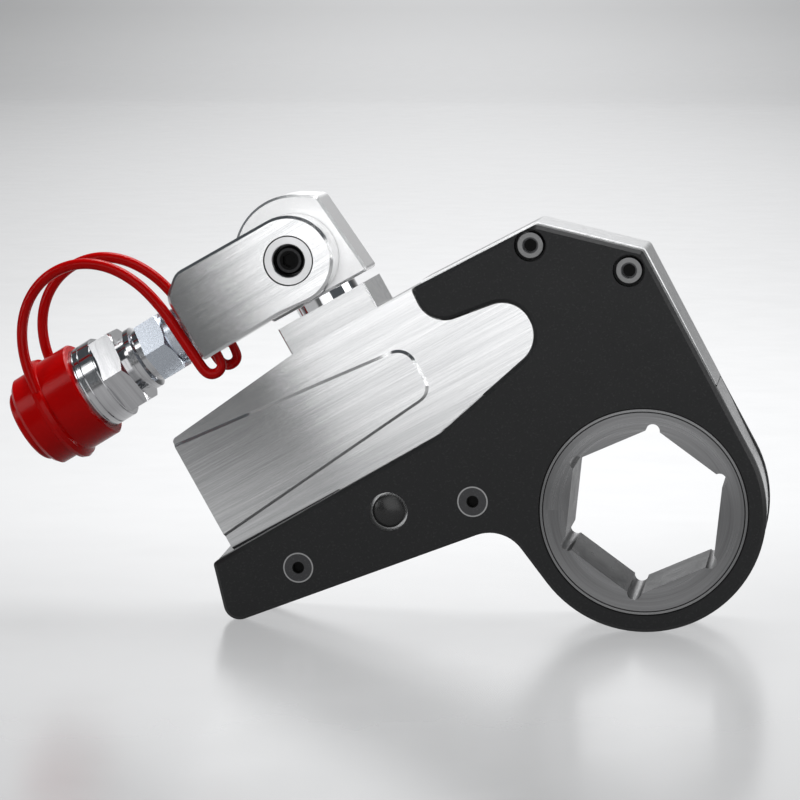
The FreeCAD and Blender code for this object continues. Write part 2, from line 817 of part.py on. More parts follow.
def plug_seal():
    start = body_rear + end_plug_length - 5.0
    return seal_ring(bore_radius - film, bore_radius - 2.0 + film, start + 0.1, 2.2)


piston_groove = 4.8


def piston():
    head = long_rod(cylinder_height, bore_radius - running, piston_rear, piston_face)
    head = head.cut(seal_ring(bore_radius + 1, bore_radius - 2.5, piston_rear + piston_groove, 3.2))
    return head.cut(long_rod(cylinder_height, rod_radius - 2 + film, piston_rear, piston_face))


def piston_seal():
    return seal_ring(bore_radius - film, bore_radius - 2.5 + film, piston_rear + piston_groove + 0.1, 3.0)


def piston_rod():
    """The rod, its spigot in the piston and the slotted eye round the drive pin."""
    v = cylinder_height
    rod = long_rod(v, rod_radius - 2, piston_rear, piston_face)
    rod = rod.fuse(long_rod(v, rod_radius, piston_face, rod_eye_u - 6))
    eye = cross_rod(rod_eye_u, v, rod_eye_radius, -wheel_half, wheel_half)
    flat_start = rod_eye_u - rod_flat_length
    neck = box(flat_start, rod_eye_u, -wheel_half, wheel_half, v - rod_radius, v + rod_radius)
    neck = neck.common(long_rod(v, rod_radius + 1.5, flat_start, rod_eye_u + 1))
    rod = rod.fuse(eye).fuse(neck)
    rod = rod.common(box(piston_rear, flat_start, -20, 20, v - 20, v + 20).fuse(
        box(flat_start, rod_eye_u + 20, -wheel_half, wheel_half, v - 20, v + 20)))
    slot_r = drive_pin_radius + running + 0.01
    rise = lever_length - cylinder_height + 0.15
    fall = cylinder_height - lever_length * math.cos(math.radians(swing)) + 0.15
    rod = rod.cut(cross_rod(rod_eye_u, v + rise, slot_r, -wheel_half, wheel_half))
    rod = rod.cut(cross_rod(rod_eye_u, v - fall, slot_r, -wheel_half, wheel_half))
    rod = rod.cut(box(rod_eye_u - slot_r, rod_eye_u + slot_r, -wheel_half, wheel_half,
                      v - fall, v + rise))
    return rod.removeSplitter()


def return_spring():
    mean = (rod_radius + bore_radius) / 2
    return coil(mean, spring_wire, gland_rear - piston_face - 0.2, spring_turns,
                at(piston_face + 0.1, cylinder_height), V(1, 0, 0))


def rod_gland():
    gland = long_rod(cylinder_height, bore_radius - film, gland_rear, gland_front)
    gland = gland.cut(long_rod(cylinder_height, rod_radius + running, gland_rear, gland_front))
    return gland.cut(seal_ring(rod_radius + 2.0, rod_radius - 1, gland_rear + 3.0, 3.2))


def gland_seal():
    return seal_ring(rod_radius + 2.0 - film, rod_radius + film, gland_rear + 3.1, 3.0)


# Release button

def release_button():
    """The domed pin across the lower arm. Its neck frees the catch when it is pushed."""
    u, v = button_at
    rim = plate_face - 1.4
    pin = cross_rod(u, v, button_radius, -rim, 4.0)
    dome_r = 12.0
    dome = Part.makeSphere(dome_r, at(u, v, -plate_face + 0.3 + dome_r))
    cap = cross_rod(u, v, button_radius, -plate_face, -rim).common(dome)
    pin = pin.fuse(cap)
    neck_start = -lug_half - button_travel - 0.15
    waist = cross_rod(u, v, button_radius + 1, neck_start, -lug_half - 0.15)
    waist = waist.cut(cross_rod(u, v, button_neck_radius, neck_start, -lug_half - 0.15))
    return pin.cut(waist).removeSplitter()


def button_spring():
    return coil(button_radius - 1.4, 0.6, inner_half - 4.2, 3, at(*button_at, 4.1), V(0, 1, 0))


# Swivel

def base_block():
    block = box(swivel_u - base_half, swivel_u + base_half, -base_half, base_half, body_top, base_top)
    uprights = [e for e in block.Edges if abs(e.Vertexes[0].Z - e.Vertexes[1].Z) > 1]
    block = block.makeChamfer(0.5, uprights)
    return block.cut(Part.makeCylinder(stem_radius + 1 + film, base_height, at(swivel_u, body_top),
                                       V(0, 0, 1)))


def swivel_post():
    """The chromed post, screwed into the base and hollow for the oil."""
    u = swivel_u
    post = Part.makeCylinder(stem_radius + 1, base_height - 0.2, at(u, body_top + 0.2), V(0, 0, 1))
    post = post.fuse(Part.makeCylinder(stem_radius, stem_height, at(u, base_top), V(0, 0, 1)))
    groove = Part.makeCylinder(stem_radius + 1, 1.8, at(u, block_floor + 2.4), V(0, 0, 1))
    groove = groove.cut(Part.makeCylinder(stem_radius - 1.4, 1.8, at(u, block_floor + 2.4), V(0, 0, 1)))
    post = post.cut(groove)
    return post.cut(Part.makeCylinder(port_radius, 40, at(u, body_top), V(0, 0, 1)))


def post_collar():
    """The chromed ring round the post that the swivel block rides on."""
    collar = Part.makeCylinder(post_radius, swivel_gap - running, at(swivel_u, base_top), V(0, 0, 1))
    return collar.cut(Part.makeCylinder(stem_radius + film, swivel_gap, at(swivel_u, base_top), V(0, 0, 1)))


def post_seal():
    base = at(swivel_u, block_floor + 2.5)
    ring = Part.makeCylinder(stem_radius + film, 1.6, base, V(0, 0, 1))
    return ring.cut(Part.makeCylinder(stem_radius - 1.4 + film, 1.6, base, V(0, 0, 1)))


def swivel_block():
    """The block that turns on the post and carries the arm's hinge."""
    items = [
        (swivel_u - block_rear, block_floor, block_rim),
        (swivel_u + block_front, block_floor, block_rim),
        (swivel_u + block_corner[0], hinge_v + block_corner[1], block_corner_radius),
        ("disc", hinge_u, hinge_v, block_radius),
    ]
    block = slab(items, -block_half, block_half)
    block = broken(block, [-block_half, block_half], 0.8)
    block = block.cut(cross_rod(hinge_u, hinge_v, hinge_radius + running, -block_half, block_half))
    top = base_top + stem_height + 0.4
    bore = Part.makeCylinder(stem_radius + running, top - block_floor, at(swivel_u, block_floor),
                             V(0, 0, 1))
    block = block.cut(bore)
    return block.cut(Part.makeCylinder(port_radius, hinge_v - top, at(swivel_u, top), V(0, 0, 1)))


def yoke_arm():
    """The fork on the hinge with the port block behind it."""
    items = [
        (-arm_length, -arm_drop, block_rim),
        (-arm_waist, -arm_drop, arm_waist_radius),
        ("disc", 0.0, 0.0, arm_round),
        (-arm_length + arm_slope[0], arm_rise, arm_slope_radius),
        (-arm_length, arm_rise - arm_slope[1], arm_slope_radius),
    ]
    arm = slab(items, -arm_half, arm_half)
    arm = broken(arm, [-arm_half, arm_half], 0.9)
    gap = block_half + side_gap
    arm = arm.cut(box(-arm_gap, arm_round + 1, -gap, gap, -arm_round - 5, arm_rise + 5))
    arm = arm.cut(cross_rod(0, 0, hinge_radius + film, -arm_half, arm_half))
    for low, high in ((-arm_half - 1, -arm_half + hinge_head_depth), (arm_half - hinge_head_depth, arm_half + 1)):
        arm = arm.cut(cross_rod(0, 0, hinge_head_radius + 0.15, low, high))
    arm = arm.cut(long_port(port_thread_radius + film, 0, port_thread_depth))
    arm = arm.cut(long_port(port_radius, 0, arm_length - arm_gap))
    for side in (-1, 1):
        hole = Part.makeCylinder(cord_radius + 3 * film, cord_seat,
                                 at(-arm_length - cord_hole_at, -arm_drop, side * cord_spacing), V(0, 0, 1))
        arm = arm.cut(hole)
    return on_arm(arm)


port_thread_radius = 5.5
port_thread_depth = 9.0
cord_seat = 1.8


def long_port(radius, start, depth):
    """A bore along the port's axis into the arm's end face, in the arm's axes."""
    return Part.makeCylinder(radius, depth, at(-arm_length + start, -port_drop), V(1, 0, 0))


def hinge_pin():
    """The hollow pin of the arm's hinge, with its flanged head on the button's side."""
    head_y = -arm_half + 0.2
    pin = cross_rod(0, 0, hinge_radius, head_y, arm_half - hinge_head_depth)
    pin = pin.fuse(cross_rod(0, 0, hinge_head_radius, head_y, -arm_half + hinge_head_depth))
    pin = pin.cut(cross_rod(0, 0, screw_room, head_y - 1, -arm_half + 6))
    pin = pin.cut(Part.makeCone(screw_room + 0.5, screw_room, 0.5, at(0, 0, head_y), V(0, 1, 0)))
    pin = pin.cut(cross_rod(0, 0, 2.6, -arm_half, arm_half))
    return on_arm(pin)


screw_room = 4.8        # radius of the pin's counterbore


def hinge_screw():
    """The cap screw inside the hinge pin."""
    seat = -arm_half + 6
    screw = cross_rod(0, 0, screw_room - 0.4, seat - 4.2, seat)
    screw = screw.makeChamfer(0.6, [e for e in screw.Edges if abs(e.CenterOfMass.y - seat + 4.2) < 1e-4])
    screw = screw.fuse(cross_rod(0, 0, 2.5, seat, arm_half - 1.2))
    socket = hex_bar(4.0, 0, 2.4, at(0, 0, seat - 4.2), V(0, 1, 0))
    return on_arm(screw.cut(socket))


def hinge_nut():
    """The flanged nut at the far end of the hinge pin."""
    face = arm_half - 0.2
    nut = cross_rod(0, 0, hinge_head_radius, arm_half - hinge_head_depth, face)
    return on_arm(nut.cut(cross_rod(0, 0, 2.52, arm_half - hinge_head_depth, face)))


# Coupler and cap

def port_adapter():
    """The hexagonal adapter between the arm and the coupler."""
    axis = at(-arm_length, -port_drop)
    body = hex_bar(adapter_flats, 0, adapter_length, axis, V(-1, 0, 0), 30)
    body = body.common(turned_on_port([
        (0, 0), (0, stud_radius + 0.6), (1.6, stud_radius + 0.6), (1.6, stud_radius),
        (adapter_start, stud_radius), (adapter_start, 9.5), (adapter_start + 1.1, 11.2),
        (adapter_length - 0.2, 11.2), (adapter_length, 10.8), (adapter_length, 0)]))
    spigot = turned_on_port([(-port_thread_depth + 0.3, 0), (-port_thread_depth + 0.3, port_thread_radius),
                             (0.1, port_thread_radius), (0.1, 0)])
    nose = turned_on_port([(adapter_length - 0.1, 0), (adapter_length - 0.1, 6.0),
                           (adapter_length + 8.0, 6.0), (adapter_length + 8.0, 0)])
    body = body.fuse(spigot).fuse(nose)
    return on_arm(body.cut(turned_on_port([(-20, 0), (-20, port_radius), (40, port_radius), (40, 0)])))


def coupler_body():
    """The coupler's inner body, with the bright bead on its neck."""
    a0 = adapter_length + 0.05
    body = turned_on_port([
        (a0, 6.0 + film), (a0, neck_radius), (bead_at - 1.5, neck_radius), (bead_at - 0.9, bead_radius),
        (bead_at + 0.9, bead_radius), (bead_at + 1.5, neck_radius), (sleeve_start + 7.5, neck_radius),
        (sleeve_start + 7.5, coupler_radius), (coupler_end - 1, coupler_radius),
        (coupler_end, coupler_radius - 1), (coupler_end, 6.5), (coupler_end - 14, 6.5),
        (coupler_end - 16, 4.0), (adapter_length + 8.1, 4.0), (adapter_length + 8.1, 6.0 + film),
    ])
    return on_arm(body)


def coupler_valve():
    """The poppet that closes the coupler when no hose is on it."""
    tip = coupler_end - 2.5
    valve = turned_on_port([
        (adapter_length + 10, 0), (adapter_length + 10, 3.9), (coupler_end - 15.8, 3.9),
        (coupler_end - 14, 5.6), (coupler_end - 11, 5.6), (coupler_end - 9, 2.5), (tip, 2.5), (tip, 0),
    ])
    return on_arm(valve)


def coupler_sleeve():
    """The sliding sleeve with hexagon flats at its rear end and two grooves."""
    a0, a1 = sleeve_start, sleeve_start + sleeve_hex_length
    inner, lip = coupler_radius + running, neck_radius + running
    outer = turned_on_port([
        (a0, 0), (a0, 12.9), (a0 + 1.0, 14.4), (a1, 14.4), (a1, sleeve_radius - 0.4),
        (a1 + 0.5, sleeve_radius - 0.4), (a1 + 0.5, sleeve_radius), (cap_start - 3.4, sleeve_radius),
        (cap_start - 3.4, sleeve_radius - 0.5), (cap_start - 2.9, sleeve_radius - 0.5),
        (cap_start - 2.9, sleeve_radius), (cap_start - 1.4, sleeve_radius),
        (cap_start - 1.4, sleeve_radius - 0.5), (cap_start - 0.9, sleeve_radius - 0.5),
        (cap_start - 0.9, sleeve_radius), (sleeve_end - 1, sleeve_radius), (sleeve_end, sleeve_radius - 1),
        (sleeve_end, 0),
    ])
    flats = hex_bar(sleeve_flats, 0, sleeve_hex_length, at(-arm_length - a0, -port_drop), V(-1, 0, 0), 30)
    rest = turned_on_port([(a1, 0), (a1, 20), (sleeve_end + 1, 20), (sleeve_end + 1, 0)])
    outer = outer.common(flats.fuse(rest))
    hollow = turned_on_port([
        (a0 - 1, 0), (a0 - 1, lip), (a0 + 3.5, lip), (a0 + 3.5, inner + 0.9),
        (a0 + 7.4 + spring_room, inner + 0.9), (a0 + 7.4 + spring_room, inner),
        (sleeve_end + 1, inner), (sleeve_end + 1, 0),
    ])
    return on_arm(outer.cut(hollow))


spring_room = 0.2


def sleeve_spring():
    """The wave spring between the sleeve's rear lip and the coupler body."""
    a0, a1 = sleeve_start + 3.6, sleeve_start + 7.4
    rings = []
    step = (a1 - a0) / 2
    for i in range(2):
        s = a0 + i * step
        rings.append((s, s + step - 0.1))
    solids = [turned_on_port([(low, neck_radius + 0.2), (low, neck_radius + 2.2),
                              (high, neck_radius + 2.6), (high, neck_radius + 0.6)]) for low, high in rings]
    return on_arm(Part.makeCompound(solids))


def dust_cap():
    """The moulded cap with its bead, which the tether runs into, and its round boss."""
    inner = sleeve_radius + 0.1
    r, bead = cap_radius, cap_bead_radius
    a = cap_bead_at
    hollow_end = sleeve_end + sleeve_travel + 0.3
    shell = turned_on_port([
        (cap_start, inner), (cap_start, r - 0.5), (cap_start + 0.5, r), (a - bead, r),
        (a - bead * 0.7, r + 1.1), (a, r + cap_bead_rise), (a + bead * 0.7, r + 1.1), (a + bead, r - 0.7),
        (cap_end - 1.2, r - 0.8), (cap_end, r - 2.0),
        (cap_end, cap_boss_radius), (cap_boss_end - 0.6, cap_boss_radius),
        (cap_boss_end, cap_boss_radius - 0.6), (cap_boss_end, 0), (coupler_end + 0.3, 0),
        (coupler_end + 0.3, coupler_radius + 0.15), (hollow_end, coupler_radius + 0.15),
        (hollow_end, inner),
    ])
    return on_arm(shell)


# The tether's route from the cap's bead to the arm's underside: the distance behind the arm's
# end face, the height above the port's axis and the distance from the middle.
cord_route = [
    (53.1, 7.1, 14.6), (52.4, 15.5, 13.2), (48.4, 26.1, 12.2), (41.4, 33.8, 12.0),
    (32.2, 37.6, 12.0), (22.2, 36.8, 12.0), (13.5, 31.3, 12.0), (7.4, 21.8, 12.0),
    (4.7, 10.7, 12.0), (4.2, -0.5, 12.0), (3.8, -9.2, 12.0), (3.5, -14.3, 12.0),
    (1.7, -16.2, 12.0), (-0.9, -16.3, 12.0), (-2.85, -14.5, 12.0),
]


def strand(side):
    """One strand: straight runs joined by tangent arcs."""
    seat = (cord_hole_at, -arm_drop + port_drop + cord_seat - 0.1, cord_spacing)
    points = [beside_port(behind, above, side * y) for behind, above, y in cord_route + [seat]]
    edges, start, radii = [], points[0], []
    for before, corner, after in zip(points, points[1:], points[2:]):
        a, b = before - corner, after - corner
        shorter = min(a.Length, b.Length)
        half_turn = (math.pi - a.getAngle(b)) / 2
        radius = 0.45 * shorter / math.tan(half_turn)
        radii.append(round(radius, 1))
        a.normalize()
        b.normalize()
        run = 0.45 * shorter
        first, last = corner + a * run, corner + b * run
        bisector = (a + b).normalize()
        centre = corner + bisector * (radius / math.cos(half_turn))
        edges.append(Part.LineSegment(start, first).toShape())
        edges.append(Part.Arc(first, centre - bisector * radius, last).toShape())
        start = last
    edges.append(Part.LineSegment(start, points[-1]).toShape())
    path = Part.Wire(edges)
    section = Part.Wire(Part.makeCircle(cord_radius, points[0], points[1] - points[0]))
    tube = path.makePipeShell([section], True, False)
    if side < 0:
        share = tube.Volume / (math.pi * cord_radius ** 2 * path.Length)
        print(f"tether: strand {path.Length:.1f} mm, volume share {share:.4f}, radii {radii}")
    return tube


cord_hole_at = -2.9     # the tether's holes in the arm's underside, in front of its end face


def beside_port(behind, above, y):
    """A point behind the arm's end face and above the port's axis, in the tool's axes."""
    a = math.radians(arm_tilt)
    du, dv = -arm_length - behind, above - port_drop
    return at(hinge_u + du * math.cos(a) - dv * math.sin(a),
              hinge_v + du * math.sin(a) + dv * math.cos(a), y)


def tether(side):
    """A strand up to the cap's bead, whose round outside it meets."""
    reach = cap_radius + cap_bead_rise + seat_gap
    core = turned_on_port([(cap_start, 0), (cap_start, reach), (cap_boss_end + 2, reach),
                           (cap_boss_end + 2, 0)])
    return strand(side).cut(on_arm(core))


# Assembly

pieces = {
    "side_plate_front": front_plate,
    "side_plate_rear": rear_plate,
    "journal_bush_front": bush,
    "journal_bush_rear": lambda: mirrored(bush()),
    "countersunk_screws": lambda: both_sides(countersunk_screw, csk_places),
    "cap_screws": lambda: both_sides(cap_screw, cap_screw_places),
    "link_frame": link_frame,
    "head_shroud": head_shroud,
    "ratchet_wheel": ratchet_wheel,
    "drive_lever_front": lambda: swung(lever(), swing),
    "drive_lever_rear": lambda: swung(mirrored(lever()), swing),
    "lever_bridge": lambda: swung(lever_bridge(), swing),
    "bridge_dowels": lambda: swung(bridge_dowels(), swing),
    "drive_pin": lambda: swung(drive_pin(), swing),
    "drive_pawl": lambda: swung(drive_pawl(), swing),
    "drive_pawl_springs": lambda: swung(drive_pawl_springs(), swing),
    "holding_pawl": holding_pawl,
    "holding_pawl_pin": holding_pin,
    "holding_pawl_spring": holding_pawl_spring,
    "cylinder_body": cylinder_body,
    "end_plug": end_plug,
    "end_plug_seal": plug_seal,
    "piston": piston,
    "piston_seal": piston_seal,
    "piston_rod": piston_rod,
    "return_spring": return_spring,
    "rod_gland": rod_gland,
    "gland_seal": gland_seal,
    "release_button": release_button,
    "button_spring": button_spring,
    "base_block": base_block,
    "swivel_post": swivel_post,
    "post_collar": post_collar,
    "post_seal": post_seal,
    "swivel_block": swivel_block,
    "yoke_arm": yoke_arm,
    "hinge_pin": hinge_pin,
    "hinge_screw": hinge_screw,
    "hinge_nut": hinge_nut,
    "port_adapter": port_adapter,
    "coupler_body": coupler_body,
    "coupler_valve": coupler_valve,
    "coupler_sleeve": coupler_sleeve,
    "sleeve_spring": sleeve_spring,
    "dust_cap": dust_cap,
    "tether_front": lambda: tether(-1),
    "tether_rear": lambda: tether(1),
}

os.makedirs("parts", exist_ok=True)
for name, make in pieces.items():
    shape = make()
    stand(shape).exportStep(f"parts/{name}.step")
    print(f"{name}: {len(shape.Solids)} solid(s), {shape.Volume:.0f} mm3, valid {shape.isValid()}")
print(f"tilt {tilt:.3f} deg, swing {swing:.3f} deg each way")
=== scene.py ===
# %% [markdown]
# # A hydraulic torque wrench
# A flat wrench for large hexagon nuts: a black ratchet link in front, a steel cylinder behind it,
# and on top a swivel with a tilting hose arm, a chromed coupler and a soft red dust cap on its
# tether. The imported model gives every rigid part. This lesson adds the camera, the room and the
# finishes, the tether's soft strands, and fresh copies of the springs.

# %% Load the frame
import bpy
import bmesh
import math
from mathutils import Matrix, Quaternion, Vector


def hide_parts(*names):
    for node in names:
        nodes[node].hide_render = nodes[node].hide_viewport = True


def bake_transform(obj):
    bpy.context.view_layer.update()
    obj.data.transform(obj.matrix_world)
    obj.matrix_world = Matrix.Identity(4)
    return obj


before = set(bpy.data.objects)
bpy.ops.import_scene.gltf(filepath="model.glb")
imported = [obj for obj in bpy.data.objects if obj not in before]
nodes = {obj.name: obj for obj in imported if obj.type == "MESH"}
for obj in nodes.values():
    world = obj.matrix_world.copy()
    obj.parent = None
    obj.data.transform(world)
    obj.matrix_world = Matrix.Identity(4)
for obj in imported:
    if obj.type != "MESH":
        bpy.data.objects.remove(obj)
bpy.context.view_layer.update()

# %% [markdown]
# ## Where things are
# The wrench stands on its reaction foot and its nose, so its long axis rises by 29.4 degrees.
# It's easiest to think in the tool's own directions: `u` runs forward along the cylinder,
# `v` stands at right angles to it, and `y` goes away from the viewer. One small function turns
# those into the room's directions, so that every later number can be read off the wrench itself.
# The hose arm has directions of its own, because it's tilted a little more than the tool.

# %% Tool directions
TOOL_TILT = math.radians(29.367)
ARM_TILT = math.radians(29.367 + 2.3)
HINGE = (-58.1, 120.4)
POST = (-57.2, 100.0)
HINGE_TO_ARM_END = 39.5
HINGE_TO_PORT = 1.7


def in_room(u, v, y=0.0):
    """A point given in the tool's millimetres, in the room's metres."""
    c, s = math.cos(TOOL_TILT), math.sin(TOOL_TILT)
    return Vector((u * c - v * s, y, u * s + v * c)) / 1000


def on_arm(along, above, y=0.0):
    """A point given in the hose arm's millimetres, counted from its hinge."""
    c, s = math.cos(ARM_TILT), math.sin(ARM_TILT)
    return in_room(*HINGE) + Vector((along * c - above * s, y, along * s + above * c)) / 1000


def beside_port(behind, above, y):
    """A point counted behind the arm's end and above the port's axis."""
    return on_arm(-HINGE_TO_ARM_END - behind, above - HINGE_TO_PORT, y)


TOOL_WAY = in_room(1000.0, 0.0)
UPRIGHT_WAY = in_room(0.0, 1000.0)
ACROSS_WAY = (0.0, 1.0, 0.0)
ARM_WAY = on_arm(1000.0, 0.0) - on_arm(0.0, 0.0)
BRUSH_WAY = on_arm(1000.0, -18.0) - on_arm(0.0, 0.0)
DRIVE_PAWL_WAY = Vector((0.626987, 0.0, -0.779029))
print("hinge at", tuple(round(x, 4) for x in in_room(*HINGE)))

# %% [markdown]
# ## The camera
# The picture looks at the wrench from a little to the right and a little above, through a long
# lens, which keeps the flat plates flat. A lens of 141 mm on a 36 mm sensor stands almost a metre
# away. The camera's three axes are written out as a matrix, so that its horizon stays level.

# %% Camera
LENS, SENSOR = 140.85, 36.0
CAMERA_AT = (0.069547, -0.964486, 0.161340)
CAMERA_TURN, CAMERA_RISE = math.radians(8.7), math.radians(7.6)

camera = bpy.data.objects.new("camera", bpy.data.cameras.new("camera"))
bpy.context.scene.collection.objects.link(camera)
bpy.context.scene.camera = camera
camera.data.lens = LENS
camera.data.sensor_width = SENSOR
camera.data.clip_start = 0.05
camera.data.clip_end = 100.0
back = Vector((math.sin(CAMERA_TURN) * math.cos(CAMERA_RISE),
               -math.cos(CAMERA_TURN) * math.cos(CAMERA_RISE), math.sin(CAMERA_RISE)))
across = Vector((math.cos(CAMERA_TURN), math.sin(CAMERA_TURN), 0.0))
upward = back.cross(across)
place = Matrix((across, upward, back)).transposed().to_4x4()
place.translation = CAMERA_AT
camera.matrix_world = place
bpy.context.scene.view_settings.view_transform = "Standard"
print("camera stands", round(place.translation.length, 3), "m from the drive")

# %% [markdown]
# ## The tether
# A red rubber tether ties the dust cap to the arm so that the cap can't get lost. It's one moulding
# with the cap: two strands leave the cap's bead, rise in a loop over the coupler, and end in two
# small holes under the arm. Each strand is a round tube swept along a smooth spline through its
# corner points. It's a little thicker between its ends than where it enters the cap and the arm.

# %% Tether
TETHER_CORNERS = [
    (53.1, 7.1, 14.6), (52.4, 15.5, 13.2), (48.4, 26.1, 12.2), (41.4, 33.8, 12.0),
    (32.2, 37.6, 12.0), (22.2, 36.8, 12.0), (13.5, 31.3, 12.0), (7.4, 21.8, 12.0),
    (4.7, 10.7, 12.0), (4.2, -0.5, 12.0), (3.8, -9.2, 12.0), (3.5, -14.3, 12.0),
    (1.7, -16.2, 12.0), (-0.9, -16.3, 12.0), (-2.85, -14.5, 12.0), (-2.9, -9.3, 12.0),
]
TETHER_RADIUS = 0.0014
TETHER_BELLY = 0.0017
TETHER_SIDES = 20
SPLINE_STEPS = 14
SWELL_AT_CAP, SWELL_AT_ARM = 8, 40


def link(name, mesh):
    """Puts a mesh into the scene as an object of that name."""
    piece = bpy.data.objects.new(name, mesh)
    bpy.context.scene.collection.objects.link(piece)
    return piece


def spline_points(name, corners):
    """Even points along a smooth spline that runs through the legs of its corners."""
    curve = bpy.data.curves.new(name, "CURVE")
    curve.dimensions = "3D"
    curve.resolution_u = SPLINE_STEPS
    line = curve.splines.new("NURBS")
    line.points.add(len(corners) - 1)
    for point, corner in zip(line.points, corners):
        point.co = (*corner, 1.0)
    line.order_u = 3
    line.use_endpoint_u = True
    holder = bpy.data.objects.new(name, curve)
    mesh = bpy.data.meshes.new_from_object(holder)
    points = [vertex.co.copy() for vertex in mesh.vertices]
    bpy.data.objects.remove(holder)
    bpy.data.meshes.remove(mesh)
    bpy.data.curves.remove(curve)
    return points


def tube_mesh(name, points, radii):
    """A round tube with closed ends round a line of points."""
    bm = bmesh.new()
    direction = (points[1] - points[0]).normalized()
    side = direction.orthogonal().normalized()
    hoops = []
    for i, point in enumerate(points):
        before = points[max(i - 1, 0)]
        after = points[min(i + 1, len(points) - 1)]
        direction = (after - before).normalized()
        side = (side - direction * side.dot(direction)).normalized()
        other = direction.cross(side)
        hoop = []
        for k in range(TETHER_SIDES):
            angle = 2 * math.pi * k / TETHER_SIDES
            offset = side * math.cos(angle) + other * math.sin(angle)
            hoop.append(bm.verts.new(point + offset * radii[i]))
        hoops.append(hoop)
    for low, high in zip(hoops, hoops[1:]):
        for k in range(TETHER_SIDES):
            beside = (k + 1) % TETHER_SIDES
            bm.faces.new((low[k], low[beside], high[beside], high[k]))
    bm.faces.new(list(reversed(hoops[0])))
    bm.faces.new(hoops[-1])
    bmesh.ops.recalc_face_normals(bm, faces=bm.faces)
    for face in bm.faces:
        face.smooth = len(face.verts) == 4
    mesh = bpy.data.meshes.new(name)
    bm.to_mesh(mesh)
    bm.free()
    return mesh


strands = []
for label, sign in (("front", -1), ("rear", 1)):
    corners = [beside_port(behind, above, sign * y) for behind, above, y in TETHER_CORNERS]
    route = spline_points(f"tether_{label}_line", corners)
    swell = [min(1.0, i / SWELL_AT_CAP, (len(route) - 1 - i) / SWELL_AT_ARM)
             for i in range(len(route))]
    radii = [TETHER_RADIUS + (TETHER_BELLY - TETHER_RADIUS) * share for share in swell]
    strand = link(f"red_tether_{label}", tube_mesh(f"red_tether_{label}", route, radii))
    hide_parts(f"tether_{label}")
    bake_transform(strand)
    strands.append(strand)

# %% [markdown]
# ## The springs
# Each spring stands between a part that stays and a part that moves. Every spring is drawn again as
# a rigid copy of its own shape, in place of the imported one. The table names both parts and the
# way the moving one goes, but the copy doesn't follow that part, so it would poke through it when
# it's pressed.

# %% Springs
SPRING_ENDS = {
    "return_spring": ("tool", "piston", -TOOL_WAY),
    "button_spring": ("tool", "button", Vector((0.0, -1.0, 0.0))),
    "holding_pawl_spring": ("tool", "holding_pawl", TOOL_WAY),
    "drive_pawl_springs": ("lever", "drive_pawl", DRIVE_PAWL_WAY),
    "sleeve_spring": ("arm", "sleeve", ARM_WAY),
}
live_springs = []
for name, (resting, moving, way) in SPRING_ENDS.items():
    mesh = nodes[name].data.copy()
    mesh.transform(nodes[name].matrix_world)
    spring = link(f"{name}_live", mesh)
    way = way.normalized()
    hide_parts(name)
    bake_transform(spring)
    live_springs.append(spring)

# %% [markdown]
# ## The room
# A pale sweep carries the wrench: a flat floor that bends up into a wall far behind. A large lamp
# above gives the soft shadows, and one on each side lights the strips of the edges. A large, weak
# one stands behind the camera, turned with the tool, and fills the faces that look at the viewer.
# The world adds a dim, cool light from everywhere.

# %% Floor and lamps
FLOOR = -0.03765
SWEEP_HALF_WIDTH = 7.0
SWEEP_FRONT = -6.0
BEND_FROM = 4.0
BEND_RADIUS = 2.0
BEND_STEPS = 24
WALL_TOP = 6.0
LAMP_AIM = (-0.03, 0.0, 0.06)
WORLD_COLOUR, WORLD_LEVEL = (0.60, 0.66, 0.72, 1.0), 0.14


def sweep_mesh():
    """The floor's line is pulled sideways, and its far edge bends up into the wall."""
    bm = bmesh.new()
    line = [(SWEEP_FRONT, 0.0)]
    for k in range(BEND_STEPS + 1):
        t = math.pi / 2 * k / BEND_STEPS
        line.append((BEND_FROM + BEND_RADIUS * math.sin(t),
                     BEND_RADIUS - BEND_RADIUS * math.cos(t)))
    line.append((BEND_FROM + BEND_RADIUS, WALL_TOP))
    verts = [bm.verts.new((-SWEEP_HALF_WIDTH, y, FLOOR + z)) for y, z in line]
    edges = [bm.edges.new(pair) for pair in zip(verts, verts[1:])]
    pulled = bmesh.ops.extrude_edge_only(bm, edges=edges)["geom"]
    bmesh.ops.translate(bm, verts=[e for e in pulled if isinstance(e, bmesh.types.BMVert)],
                        vec=(2 * SWEEP_HALF_WIDTH, 0.0, 0.0))
    bmesh.ops.recalc_face_normals(bm, faces=bm.faces)
    for face in bm.faces:
        face.smooth = True
    mesh = bpy.data.meshes.new("sweep")
    bm.to_mesh(mesh)
    bm.free()
    return mesh


def soft_lamp(name, spot, aim, width, height, level, lean=0.0):
    """A rectangular soft lamp at a spot, turned to its aim, whose level is its own brightness."""
    lamp = bpy.data.lights.new(name, "AREA")
    lamp.shape = "RECTANGLE"
    lamp.size, lamp.size_y = width, height
    lamp.energy = level * math.pi * width * height
    holder = bpy.data.objects.new(name, lamp)
    bpy.context.scene.collection.objects.link(holder)
    holder.location = spot
    turned = (Vector(aim) - Vector(spot)).to_track_quat("-Z", "Y")
    holder.rotation_euler = (turned @ Quaternion((0.0, 0.0, 1.0), lean)).to_euler()


